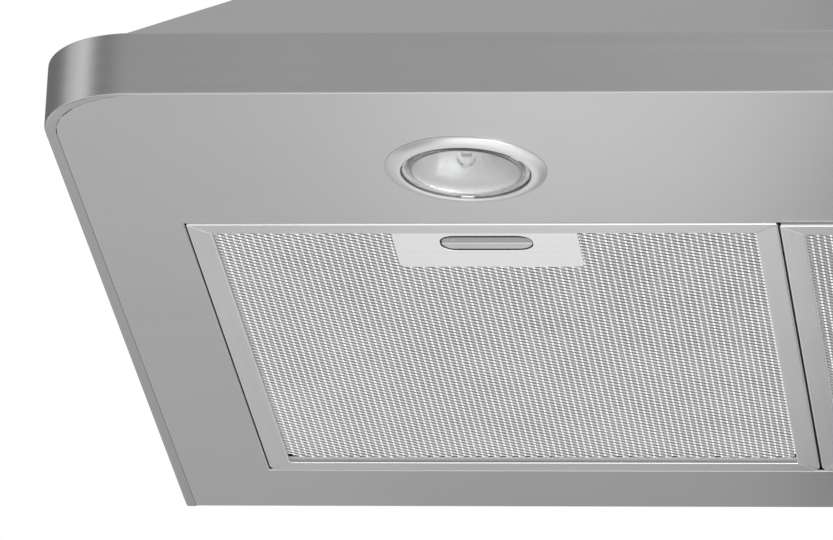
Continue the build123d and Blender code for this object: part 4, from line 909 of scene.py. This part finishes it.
# %% Play in the middle latch
FRONT_DROP = 1.0
for part in ("filter_channel", "filter_mesh", "latch_cover", "finger_slide", "leaf_spring"):
    corners = bpy.data.objects[f"middle_{part}"].data.vertices
    spots = np.zeros(3 * len(corners), np.float32)
    corners.foreach_get("co", spots)
    spots = spots.reshape(-1, 3)
    spots[:, 2] += FRONT_DROP / FILTER_DEPTH * (spots[:, 1] - FILTER_REAR * MM)
    corners.foreach_set("co", spots.ravel())
print("middle filter's front lowered by", FRONT_DROP, "mm")

# %% Springs get meshes of their own
DRAWN = 5.0
for name in FILTERS:
    low, high = box_mm(f"filter_{name}_latch_spring")
    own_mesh(bpy.data.objects[f"{name}_leaf_spring"], f"latch_{name}_slide", axis=(0, 1, 0),
              anchor=tuple(place(0, high[1], 0)), keep=1 - (DRAWN + 0.1) / (high[1] - low[1]))
print("each spring flattens by", DRAWN + 0.1, "mm")

# %% [markdown]
# ## Chrome, glass and glaze
# The bezel is satin chrome with a fine lathe grain. The lens is clear pressed glass, a little wavy as pressed
# glass is. The bowl is bright aluminium with faint radial ribs from spinning, which is why it shows a burst of
# light. The holder is glazed ceramic.

# %% Lamp finishes
def clear_glass(name, colour, rough):
    """Clear glass with slight waviness."""
    add, done = new_finish(name)
    ripple = noise(add, on_object(add), 120, detail=2)
    shade = tint(add, ripple, *shades(colour, 0.97, 1))
    glass = {"Transmission Weight": 1.0, "IOR": 1.5}
    return done(shade, span(add, ripple, rough, rough + 0.03), ripple, 0.05, 0.0003, glass)


def spun_bowl(name):
    """Bright spun aluminium: noise that varies only round the axis gives the radial ribs. The lowest few millimetres,
    next to the glass, are mixed towards a pale grey: a painted highlight."""
    add, done = new_finish(name)
    where, tangent = on_grain(add)
    ribs, broad = noise(add, where, (2600, 30, 1), detail=2), noise(add, where, (260, 90, 1))
    height = add("ShaderNodeSeparateXYZ", {0: on_object(add)}).outputs["Z"]
    # painted highlight: the bowl's lowest few millimetres are drawn brighter than the rest
    rim_highlight = span(add, height, 1, 0, place(0, 0, 1.5)[2], place(0, 0, 4.5)[2])
    spun = tint(add, broad, (0.42, 0.42, 0.425), (0.48, 0.48, 0.48))
    shade = add("ShaderNodeMix", {"Factor": rim_highlight, 6: spun, 7: (0.74, 0.74, 0.74, 1)}, data_type="RGBA").outputs[2]
    metal = {"Tangent": tangent, "Anisotropic": 0.8, "Anisotropic Rotation": 0.25, "Metallic": 1.0}
    return done(shade, span(add, broad, 0.20, 0.28), joined(add, "ADD", ribs, broad), 0.35, 0.0004, metal)


chrome = brushed_steel("satin chrome", (0.70, 0.70, 0.705), 0.36, spread=0.2, depth=0.03, contrast=0.02)
lens_glass = clear_glass("lens glass", (0.97, 0.98, 0.975), 0.02)
bulb_glass = clear_glass("bulb glass", (0.95, 0.96, 0.97), 0.04)
bowl_metal = spun_bowl("spun aluminium")
ceramic = cast_or_rolled("glazed ceramic", (0.82, 0.80, 0.76), 0.28, metallic=0, grain_size=400, depth=0.05, coat=0.4)
tungsten = cast_or_rolled("tungsten", (0.25, 0.24, 0.23), 0.45, grain_size=3000)
print("lamp finishes:", ", ".join(m.name for m in (chrome, lens_glass, bulb_glass, bowl_metal, ceramic, tungsten)))

# %% Lamps
BEZEL_IN, BEZEL_OUT = 28.7, 35.85
bezel_profile = np.concatenate([
    [(BEZEL_OUT, 0.0), (BEZEL_OUT, -0.25)], arc_through((35.7, -0.5), (32.8, -1.92), (29.6, -2.4)),
    [(29.1, -2.36), (28.85, -2.2), (28.75, -1.9), (BEZEL_IN, -1.5), (BEZEL_IN, 12), (29.7, 12), (29.7, 0),
     (BEZEL_OUT, 0.0)],
])
lens_profile = [(0, -1.5), (12, -1.5), (23.6, -1.5), (24.3, -1.48), (24.6, -1.38), (24.9, -1.32), (27.9, -1.24),
                (28.3, -1.12), (28.45, -0.9), (28.45, 0.2), (28.45, 0.8), (20, 0.8), (0, 0.8)]
BOWL_NECK, BOWL_MOUTH, BOWL_LOW, BOWL_RISE = 6.5, 25.4, 1, 17
share = np.linspace(0, 1, 15)[:, None]
bowl_inside = np.column_stack([
    BOWL_NECK + (BOWL_MOUTH - BOWL_NECK) * np.sqrt(1 - share**1.35), BOWL_LOW + BOWL_RISE * share,
])
bowl_profile = np.concatenate([
    [(28.4, 1.0), (26.9, 1.0), (26.3, 1.08), (25.85, 1.32), (25.55, 1.7)], bowl_inside[1:],
    [(BOWL_NECK, 19.6), (7.3, 19.6)], (bowl_inside[::-1] + (0.8, 0.3))[:-1], [(26.2, 1.8), (28.4, 1.8), (28.4, 1.0)],
])
BULB_RADIUS, BULB_TOP = 4.3, 2.6
tip = np.linspace(0, np.pi / 2, 9)
bulb_profile = np.concatenate([
    np.column_stack([BULB_RADIUS * np.sin(tip), BULB_TOP + BULB_RADIUS * (1 - np.cos(tip))]),
    [(BULB_RADIUS, 12), (BULB_RADIUS, 16.2)],
    np.column_stack([2.1 + 2.2 * np.cos(tip), 16.4 + 2.6 * np.sin(tip)]), [(0, 19.0)],
])
FOOT_X, FOOT_Y, FOOT_LOW, FOOT_TOP = 3.8, 1.5, 18, 26
for name, lamp_x in LAMPS.items():
    for part, profile, slot, finish, node, crease in (
        ("bezel", bezel_profile, "lamp_chrome", chrome, "bezel", 34),
        ("lens", lens_profile, "lamp_glass", lens_glass, "lens", 34),
        ("bowl", bowl_profile, "lamp_chrome", bowl_metal, "reflector", 50),
    ):
        build(f"{name}_lamp_{part}", turned(lamp_x, profile), "hood", slot, finish, f"lamp_{name}_{node}",
              crease=crease)
    foot = slab(lamp_x - FOOT_X, lamp_x + FOOT_X, LAMP_Y - FOOT_Y, LAMP_Y + FOOT_Y, FOOT_LOW, FOOT_TOP)
    build(f"{name}_lamp_bulb", turned(lamp_x, bulb_profile, 48) + foot, "hood", "lamp_glass", bulb_glass,
          f"lamp_{name}_bulb")

# %% [markdown]
# ## The clips that hold the glass, and the filament
# Three small spring clips hook over the rim of each glass and hold it in the bezel. From below each shows as a
# short bright tab that bridges the dark gap round the glass. Inside the bulb a tungsten coil stands on two
# legs. Both are far too small to model fully, so a bent strip and a thin five-sided tube are enough.

# %% Lens clips and filament
CLIP_SECTION = [(26.9, -1.3), (27.4, -1.62), (28.3, -1.55), (28.62, -1.2), (28.62, 2.5), (28.5, 2.5),
                (28.47, -0.95), (28.3, -1.14), (26.9, -1.3)]
CLIP_ANGLES, CLIP_SPREAD = (-33, 94, 200), np.linspace(-6, 6, 5)
COIL_HALF, COIL_RADIUS, COIL_HEIGHT, COIL_TURNS, COIL_WIRE = 1.3, 0.42, 7.6, 9, 0.11
LEG_HALF, LEG_KNEE, LEG_TOP, LEG_WIRE = 1.5, (0.2, 11), 16.5, 0.16
TUBE_SIDES = 5


def lens_clips(x):
    """Three short curved tabs. Each is a strip's section of radius and height, carried through 12 degrees."""
    patches = []
    for middle in CLIP_ANGLES:
        patches += carried(swept(x, CLIP_SECTION, np.radians(middle) + np.radians(CLIP_SPREAD)))
    return patches


def tube_along(path, radius):
    """A thin tube round a path. At each point of the path two directions at right angles to its run carry a
    small circle: the radius times the cosine along one and the sine along the other."""
    run = np.gradient(path, axis=0)
    run /= np.linalg.norm(run, axis=1)[:, None]
    side = np.cross(run, [0.31, 0.87, 0.38])
    side /= np.linalg.norm(side, axis=1)[:, None]
    angle = np.linspace(0, 2 * np.pi, TUBE_SIDES + 1)[:, None, None]
    points = path[None] + radius * (np.cos(angle) * side[None] + np.sin(angle) * np.cross(run, side)[None])
    return carried(place(*np.moveaxis(points, -1, 0)))


def filament(x):
    """A coil that lies across the bulb: its centre runs 2.6 mm along x while the wire goes round it 9 times, and
    each end goes up to the bulb's foot."""
    turn = np.linspace(0, COIL_TURNS * 2 * np.pi, COIL_TURNS * 14)
    tubes = tube_along(np.column_stack([
        x - COIL_HALF + 2 * COIL_HALF * turn / turn[-1],
        LAMP_Y + COIL_RADIUS * np.cos(turn), COIL_HEIGHT + COIL_RADIUS * np.sin(turn),
    ]), COIL_WIRE)
    for s in (-1, 1):
        leg = [(x + s * COIL_HALF, LAMP_Y + COIL_RADIUS, COIL_HEIGHT),
               (x + s * LEG_HALF, LAMP_Y + LEG_KNEE[0], LEG_KNEE[1]), (x + s * LEG_HALF, LAMP_Y, LEG_TOP)]
        tubes += tube_along(np.array(leg), LEG_WIRE)
    return tubes


clip_steel = cast_or_rolled("clip steel", (0.66, 0.66, 0.66), 0.22, grain_size=1500)
seal_ring = cast_or_rolled("silicone seal", (0.80, 0.80, 0.80), 0.55, metallic=0.0)
seal_profile = [(26.6, 0.84), (28.4, 0.84), (28.4, 0.97), (26.6, 0.97), (26.6, 0.84)]
for name, lamp_x in LAMPS.items():
    build(f"{name}_lens_clips", lens_clips(lamp_x), "hood", "lamp_chrome", clip_steel)
    build(f"{name}_filament", filament(lamp_x), "hood", "lamp_glass", tungsten)
    build(f"{name}_lens_seal", turned(lamp_x, seal_profile), "hood", "lamp_glass", seal_ring)

# %% [markdown]
# ## Chimney covers
# Two U-shaped covers hide the duct. Each is a plan outline with small round bends, drawn straight up. The inner
# one slides up in the outer one and has vent slots near the top of both sides. A slot is a ring of cells that
# goes from a rectangle of the sheet to the slot's round-ended outline, so that it is cut clean through.

# %% Outer cover
COVER_SHEET, COVER_FLANGE, COVER_GAP = 1.0, 12, 0.3


def cover_plan(half, depth, rear):
    """Closed plan outline of a U-shaped sheet: from the left rear round the front to the right rear, and back
    along the inside."""
    t = COVER_SHEET
    outline = [(-half, rear), (-half, -depth), (half, -depth), (half, rear),
               (half - t, rear), (half - t, t - depth), (t - half, t - depth), (t - half, rear)]
    return rounded(outline, [0, 2, 2, 0, 0, 1, 1, 0], hold=0.4)


def drawn_up(plan, heights):
    """A plan outline drawn straight up through some heights."""
    return place(plan[None, :, 0], plan[None, :, 1], np.asarray(heights)[:, None])


low_box, top_box = box_mm("chimney_lower"), box_mm("chimney_upper")
(_, low_front, low_foot), (low_half, _, low_top) = low_box
outer_wall = drawn_up(closed(cover_plan(low_half, -low_front, 0)), np.linspace(low_foot, low_top, 5))
outer_patches = [patch(outer_wall), cap(outer_wall[0, :-1]), cap(outer_wall[-1, :-1])]
outer_patches += side_slabs(low_half - COVER_SHEET - COVER_FLANGE, low_half - COVER_SHEET, -COVER_SHEET, 0,
                            box_mm("blower_plate")[1][2] + COVER_GAP, low_top)
build("outer_cover", outer_patches, "hood", "brushed_steel", steel_upright, "chimney_lower")

# %% Inner cover
SLOTS, SLOT_STEP, SLOT_LENGTH, SLOT_HEIGHT, SLOT_Y, SLOT_DROP = 6, 11.0, 90.0, 4.0, -125.0, 45
BEND_END = -230.0


def slot_ring(h, half_y, half_h):
    """From a rectangle to a round-ended slot. The slot's end is an arc, and the rectangle's point at the same
    angle is found with the tangent, held to the rectangle's height. The second half is the first, turned."""
    angle = np.linspace(-np.pi / 2, np.pi / 2, 13)
    straight = (SLOT_LENGTH - SLOT_HEIGHT) / 2
    slot = np.column_stack([straight + SLOT_HEIGHT / 2 * np.cos(angle), SLOT_HEIGHT / 2 * np.sin(angle)])
    box = np.column_stack([np.full_like(angle, half_y), half_h * np.clip(np.tan(np.clip(angle, -1.5, 1.5)), -1, 1)])
    y, z = np.moveaxis([np.concatenate([ring, -ring, ring[:1]]) for ring in (box, slot)], -1, 0)
    return SLOT_Y + y, h + z


def slotted_side(x_out, x_in, heights, slot_heights):
    """One side of the inner cover: both faces with the slots' cells left out, a ring and a lining for each slot,
    and the rear, top and bottom edges."""
    half_y = SLOT_LENGTH / 2 + 4
    ys = np.array([BEND_END, SLOT_Y - half_y, SLOT_Y + half_y, top_box[1][1]])
    keep = np.ones((len(heights) - 1, 3), bool)
    keep[1:-1, 1] = False
    patches = [patch(place(x, ys[None], heights[:, None]), keep) for x in (x_out, x_in)]
    for h in slot_heights:
        out, inn = (place(x, *slot_ring(h, half_y, SLOT_STEP / 2)) for x in (x_out, x_in))
        patches += [patch(out), patch(inn), patch(np.stack([out[1], inn[1]]))]
    sides = np.array([x_out, x_in])[:, None]
    patches.append(patch(place(sides, ys[-1], heights[None])))
    return patches + [patch(place(sides, ys[None], heights[k])) for k in (0, -1)]


(_, top_front, top_foot), (top_half, _, top_top) = top_box
slot_heights = top_top - SLOT_DROP - np.arange(SLOTS)[::-1] * SLOT_STEP
heights = np.concatenate([[top_foot, slot_heights[0] - SLOT_STEP / 2], slot_heights + SLOT_STEP / 2, [top_top]])
strip = drawn_up(cover_plan(top_half, -top_front, BEND_END), heights)
middle = strip.shape[1] // 2
inner_patches = [patch(strip[:, :middle]), patch(strip[:, middle:])]
inner_patches += [patch(np.stack([strip[k, :middle], strip[k, :middle - 1:-1]])) for k in (0, -1)]
for side in (-1, 1):
    inner_patches += slotted_side(side * top_half, side * (top_half - COVER_SHEET), heights, slot_heights)
build("inner_cover", inner_patches, "chimney_top", "brushed_steel", steel_upright, "chimney_upper")

# %% [markdown]
# ## Push buttons
# Five round buttons go through the plate on the band. Each is a turned form: a face with a shallow dish for the
# fingertip, a rounded edge, and a stem that disappears behind the plate.

# %% Buttons
DISH, EDGE, CHAMFER = 0.35, 0.8, 0.3


def turned_button(low, high):
    """A profile of radius and depth turned round the button's own axis, which runs from front to rear. The dish
    falls 0.35 mm as a cosine of the radius, and the edge is a quarter circle of 0.8 mm."""
    (x, _, h), radius, length = (low + high) / 2, (high[0] - low[0]) / 2, high[1] - low[1]
    across = np.linspace(0, radius - 2 * EDGE, 7)
    bend = np.radians(np.linspace(0, 90, 6))
    profile = np.concatenate([
        np.column_stack([across, DISH * (1 + np.cos(np.pi * across / (radius - 2 * EDGE))) / 2]),
        np.column_stack([radius - EDGE + EDGE * np.sin(bend), EDGE * (1 - np.cos(bend))]),
        [(radius, 1.2), (radius, length - CHAMFER), (radius - CHAMFER, length), (0, length)],
    ])
    angle = np.linspace(0, 2 * np.pi, 49)[None]
    r, depth = profile[:, :1], profile[:, 1:]
    return [patch(place(x + r * np.cos(angle), low[1] + depth, h + r * np.sin(angle)))]


button_finish = cast_or_rolled("button plastic", (0.42, 0.42, 0.425), 0.36, metallic=0.0, grain_size=2200,
                               contrast=0.05, depth=0.10, bump_size=0.0001, coat=0.25)
for name in ("off", "low", "mid", "high", "light"):
    build(f"{name}_button_cap", turned_button(*box_mm(f"button_{name}")), f"button_{name}_body", "button_plastic",
          button_finish, f"button_{name}")

# %% [markdown]
# ## Finishes for the parts inside
# The measured model's own solids stay for everything that needs no rounder form: brackets, the blower, the duct collar
# and the electrics. Each still gets the finish of its real material. Galvanised sheet has a spangle of flat crystals,
# each with its own shade. Moulded plastic has a fine leather-like texture. The mesh layers inside a filter are a woven
# pattern of strands and gaps, with a colour far darker than bare aluminium: painted shade for the depth seen through
# the face mesh.

# %% Galvanised sheet
SPANGLE = 130.0


def galvanised(name, colour, rough):
    """Zinc spangle: cells of a Voronoi texture, each with its own brightness and roughness, over fine noise."""
    add, done = new_finish(name)
    where = on_object(add)
    bent = add("ShaderNodeTexNoise", {"Vector": where, "Scale": 60.0, "Detail": 2.0}).outputs["Color"]
    shifted = add("ShaderNodeMix", {"Factor": 0.012, 6: where, 7: bent}, data_type="RGBA").outputs[2]
    cells = add("ShaderNodeTexVoronoi", {"Vector": shifted, "Scale": SPANGLE}).outputs["Color"]
    value = add("ShaderNodeSeparateColor", {0: cells}).outputs[0]
    shade = tint(add, value, *shades(colour, 0.86, 1.1))
    roughness = span(add, value, rough - 0.06, rough + 0.08, 0, 1)
    return done(shade, roughness, noise(add, where, 900), 0.08, 0.0002, {"Metallic": 1.0})


def moulded(name, colour, rough, texture=1400.0):
    """Moulded plastic: a leather-like texture of small cells, and faint clouds from the flow in the mould."""
    add, done = new_finish(name)
    where = on_object(add)
    cells = add("ShaderNodeTexVoronoi", {"Vector": where, "Scale": texture}).outputs["Distance"]
    cloud = noise(add, where, 40, detail=4)
    shade = tint(add, span(add, cloud, 0, 1), *shades(colour, 0.85, 1.15))
    return done(shade, span(add, cloud, rough - 0.04, rough + 0.06), cells, 0.25, 0.0001, {})


def layered_mesh(name, colour):
    """Layers of expanded mesh seen on edge and through each other: two sets of slanting bands, one for each way that
    the strands run, and the lighter wherever either band passes. The colour stays far darker than bare aluminium, down
    to 0.45 of itself between the bands: a pattern of strands and gaps, with painted shade for the depth of the layers."""
    add, done = new_finish(name)
    where = on_object(add)
    bands = []
    for slant in np.radians([32, -32]):
        slanted = add("ShaderNodeMapping", {"Vector": where, "Rotation": (0, 0, slant)}).outputs[0]
        wave = {"Vector": slanted, "Scale": 62.0, "Distortion": 1.2, "Detail": 1.0, "Detail Scale": 3.0}
        bands.append(add("ShaderNodeTexWave", wave, bands_direction="Y").outputs["Fac"])
    either = joined(add, "MAXIMUM", *bands)
    # the dark between the bands is partly the gaps' pattern and partly painted shade
    shade = tint(add, span(add, either, 0, 1, 0.45, 0.95), *shades(colour, 0.45, 1))
    roughness = span(add, noise(add, where, 1200), 0.38, 0.52)
    return done(shade, roughness, either, 0.6, 0.0006, {"Metallic": 1.0})


def dress(finish, *nodes):
    """Gives one finish to solids of the measured model."""
    for node in nodes:
        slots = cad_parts[node].data.materials
        slots.clear()
        slots.append(finish)
    print(f"{finish.name}: {', '.join(nodes)}")


dress(galvanised("galvanised sheet", (0.62, 0.63, 0.65), 0.34), "back_plate", "hanger_bar", "wall_rail",
      "filter_rail_front", "filter_rail_rear", "blower_plate", "motor_bracket", "ceiling_bracket",
      "blower_half_left", "blower_half_right")
dress(cast_or_rolled("bright fasteners", (0.66, 0.66, 0.67), 0.24, grain_size=1800), "blower_screws", "damper_pins",
      "motor_shaft")
# painted shade: the filter cores are drawn dark grey, far below bare aluminium
dress(layered_mesh("core mesh painted shade", (0.20, 0.20, 0.20)), *(f"filter_{name}_core" for name in FILTERS))
dress(moulded("black nylon", (0.030, 0.031, 0.033), 0.42), "switch_block", "cord_gland", "duct_collar",
      "damper_flap_front", "damper_flap_rear")
dress(moulded("grey nylon", (0.085, 0.087, 0.09), 0.48, texture=1800.0), "impeller", "junction_box")
dress(cast_or_rolled("motor paint", (0.022, 0.022, 0.024), 0.30, metallic=0.0, grain_size=500, depth=0.2, coat=0.35),
      "motor")
dress(cast_or_rolled("drawn can", (0.74, 0.74, 0.75), 0.30, grain_size=700, contrast=0.03), "capacitor")
dress(ceramic, "lamp_left_holder", "lamp_right_holder")
dress(brushed_steel("fascia steel", (0.66, 0.66, 0.665), 0.26, along="x", depth=0.05), "control_fascia")

# %% [markdown]
# ## The camera
# The hood is seen from below and from a little to its right, from far away with a long lens, so that its
# edges hardly converge. The camera's three directions are written as the columns of its matrix.

# %% Camera
CAMERA_AT = Vector((0.1273, -3.6508, -1.5542))
CAMERA_LOOKS = Vector((-0.11742, 0.91731, 0.38047)).normalized()
CAMERA_RIGHT = Vector((0.99308, 0.10880, 0.04418)).normalized()
camera_up = CAMERA_RIGHT.cross(CAMERA_LOOKS).normalized()
camera_right = CAMERA_LOOKS.cross(camera_up).normalized()
turning = Matrix((camera_right, camera_up, -CAMERA_LOOKS)).transposed()
camera = bpy.data.objects.new("camera", bpy.data.cameras.new("camera"))
bpy.context.scene.collection.objects.link(camera)
camera.matrix_world = Matrix.Translation(CAMERA_AT) @ turning.to_4x4()
camera.data.lens = 348.2
camera.data.sensor_width = 36
bpy.context.scene.camera = camera
print("camera stands", round(CAMERA_AT.length, 2), "m from the origin")

# %% [markdown]
# ## The studio
# Brushed steel has hardly any colour of its own: it shows the room. So the room is built as a photographer
# would: a pale floor, white all round, and plain cards that the steel can reflect. Their brightness differs
# from place to place, and that draws the soft bands on the round corner and the slow fades on the flats. Each
# card is a single sheet that shines only inwards and that the camera doesn't see.

# %% White background
WHITE = (1, 1, 1, 1)
AMBIENT = 0.75


def empty_nodes(owner):
    """Empties the node tree of a material or of the world and gives a way to add nodes."""
    owner.use_nodes = True
    owner.node_tree.nodes.clear()
    return node_adder(owner.node_tree)


def only_for(add, *kinds):
    """1 for the kinds of ray that are named, and 0 for all others."""
    path = add("ShaderNodeLightPath")
    total = path.outputs[kinds[0]]
    for kind in kinds[1:]:
        total = joined(add, "MAXIMUM", total, path.outputs[kind])
    return total


def mixed(add, share, first, second):
    """The first shader where the share is 0, and the second where it is 1."""
    return add("ShaderNodeMixShader", {0: share, 1: first, 2: second}).outputs[0]


world = bpy.data.worlds.new("studio")
bpy.context.scene.world = world
add = empty_nodes(world)
seen = only_for(add, "Is Camera Ray", "Is Glossy Ray", "Is Transmission Ray")
plain, white = (add("ShaderNodeBackground", {"Color": WHITE, "Strength": s}).outputs[0] for s in (AMBIENT, 1.0))
add("ShaderNodeOutputWorld", {0: mixed(add, seen, plain, white)})
bpy.context.scene.view_settings.view_transform = "Standard"
print("white surround, and", AMBIENT, "of it on plain surfaces")

# %% Floor
FLOOR, FLOOR_REACH = -1.65, 40
FLOOR_SHINE = 0.55


def one_sided(add, front):
    """Ends a material's nodes: its front shows a shader, and its back is clear."""
    clear = add("ShaderNodeBsdfTransparent").outputs[0]
    side = add("ShaderNodeNewGeometry").outputs["Backfacing"]
    add("ShaderNodeOutputMaterial", {0: mixed(add, side, front, clear)})


def sheet_object(name, points, material, seen_by_camera=True):
    """A table of corners as one staged sheet."""
    corners, quads, _ = patch(np.asarray(points, float))
    mesh = bpy.data.meshes.new(name)
    mesh.from_pydata(corners.tolist(), [], quads.tolist())
    mesh.shade_smooth()
    made = bpy.data.objects.new(name, mesh)
    bpy.context.scene.collection.objects.link(made)
    mesh.materials.append(material)
    made.visible_camera = seen_by_camera


floor_finish = bpy.data.materials.new("studio floor")
add = empty_nodes(floor_finish)
grain = add("ShaderNodeTexNoise", {"Scale": 3.0, "Detail": 4.0}).outputs["Fac"]
paper = add("ShaderNodeBsdfDiffuse", {"Color": tint(add, grain, (0.90,) * 3, (0.94,) * 3)}).outputs[0]
glow = add("ShaderNodeEmission", {"Color": WHITE, "Strength": 1.0}).outputs[0]
bright = joined(add, "MULTIPLY", only_for(add, "Is Camera Ray"), FLOOR_SHINE)
bright = joined(add, "MAXIMUM", bright, only_for(add, "Is Glossy Ray", "Is Transmission Ray"))
one_sided(add, mixed(add, bright, paper, glow))
sheet_object("floor", [[(x, y, FLOOR) for x in (-FLOOR_REACH, FLOOR_REACH)] for y in (-FLOOR_REACH, FLOOR_REACH)],
             floor_finish)
print("floor lies", -FLOOR, "m below the rail's screws")

# %% Cards
# distance of the upright cards from a point in the middle of the hood, and how far that lies from the wall
CARD_RADIUS, CARD_MIDDLE = 2.6, -0.25


def card(name, points, strength):
    """A card that shines from its front and is clear from behind."""
    material = bpy.data.materials.new(name)
    add = empty_nodes(material)
    one_sided(add, add("ShaderNodeEmission", {"Color": WHITE, "Strength": strength}).outputs[0])
    sheet_object(name, points, material, seen_by_camera=False)


def wall_points(start, end, low, high):
    """An upright card bent round the hood's front corner line. Its angle runs from start to end degrees, counted
    from straight in front of the hood towards its left, at a fixed distance from the middle of the hood."""
    angle = np.radians(np.linspace(start, end, max(2, (end - start) // 6 + 1)))[None]
    height = np.array([low, high])[:, None]
    x, y = -CARD_RADIUS * np.sin(angle), CARD_MIDDLE - CARD_RADIUS * np.cos(angle)
    return np.stack(np.broadcast_arrays(x, y, height), axis=-1)


def flat_points(corner, right, up):
    """A flat card: one corner and its two edges. It shines towards the cross product of right and up."""
    corner, right, up = np.array([corner, right, up], float)
    return [[corner, corner + right], [corner + up, corner + right + up]]


# a ring of upright cards that touch, and one low card behind: name, last angle in degrees, strength
RING_START, RING_LOW, RING_HIGH = -60, -0.3, 3.0
RING = (("front_right", -10, 1.70), ("front", 12, 0.52), ("front_left", 36, 0.48), ("corner_dark", 60, 0.25),
        ("left_rise", 74, 1.28), ("left_bright", 92, 0.82), ("left_fall", 112, 0.22), ("left_dark", 150, 0.21),
        ("rear_high", 240, 0.35), ("right", 300, 0.71))
REAR_LOW, REAR_STRENGTH = (130, 225, -1.64, RING_LOW), 1.01
# name: a corner and the two edges from it in metres, strength
FLAT_CARDS = {
    "below": ((-0.66, -0.7, -1.6), (0.52, 0, 0), (0, 1.0, 0), 1.7),
    "below_right": ((-0.12, -0.5, -1.6), (0.62, 0, 0.15), (0, 1.3, 0), 1.35),
    "below_far": ((0.50, -0.5, -1.45), (1.0, 0, 0.3), (0, 1.3, 0), 0.72),
    "burst": ((0.36, -0.90, -1.59), (0.62, -0.62, 0), (0.16, 0.16, 0), 20.0),
    "below_left": ((-3.1, -1.1, -1.3), (2.42, 0, -0.3), (0, 1.9, 0), 0.42),
    "above": ((-3, 3.5, 3.0), (6, 0, 0), (0, -5.5, 0), 0.58),
}
# a low wall just behind the hood, as a table of strengths: columns from left to right, rows from the floor up
NEAR_X, NEAR_Z, NEAR_Y = (-1.3, -0.42, -0.17, 0.20, 1.3), (-0.75, -0.50, -0.33, -0.17), 0.45
NEAR_WALL = ((0.70, 1.25, 0.40, 0.86), (0.60, 0.52, 0.15, 0.69), (0.56, 0.50, 0.55, 0.49))
for row, (z0, z1) in enumerate(zip(NEAR_Z, NEAR_Z[1:])):
    for column, (x0, x1) in enumerate(zip(NEAR_X, NEAR_X[1:])):
        edges = (x0, NEAR_Y, z0), (x1 - x0, 0, 0), (0, 0, z1 - z0)
        FLAT_CARDS[f"near_{row}_{column}"] = (*edges, NEAR_WALL[row][column])
start = RING_START
for name, end, strength in RING:
    card(name, wall_points(start, end, RING_LOW, RING_HIGH), strength)
    start = end
card("rear_low", wall_points(*REAR_LOW), REAR_STRENGTH)
for name, (*form, strength) in FLAT_CARDS.items():
    card(name, flat_points(*form), strength)
print("studio cards:", len(RING) + 1 + len(FLAT_CARDS))
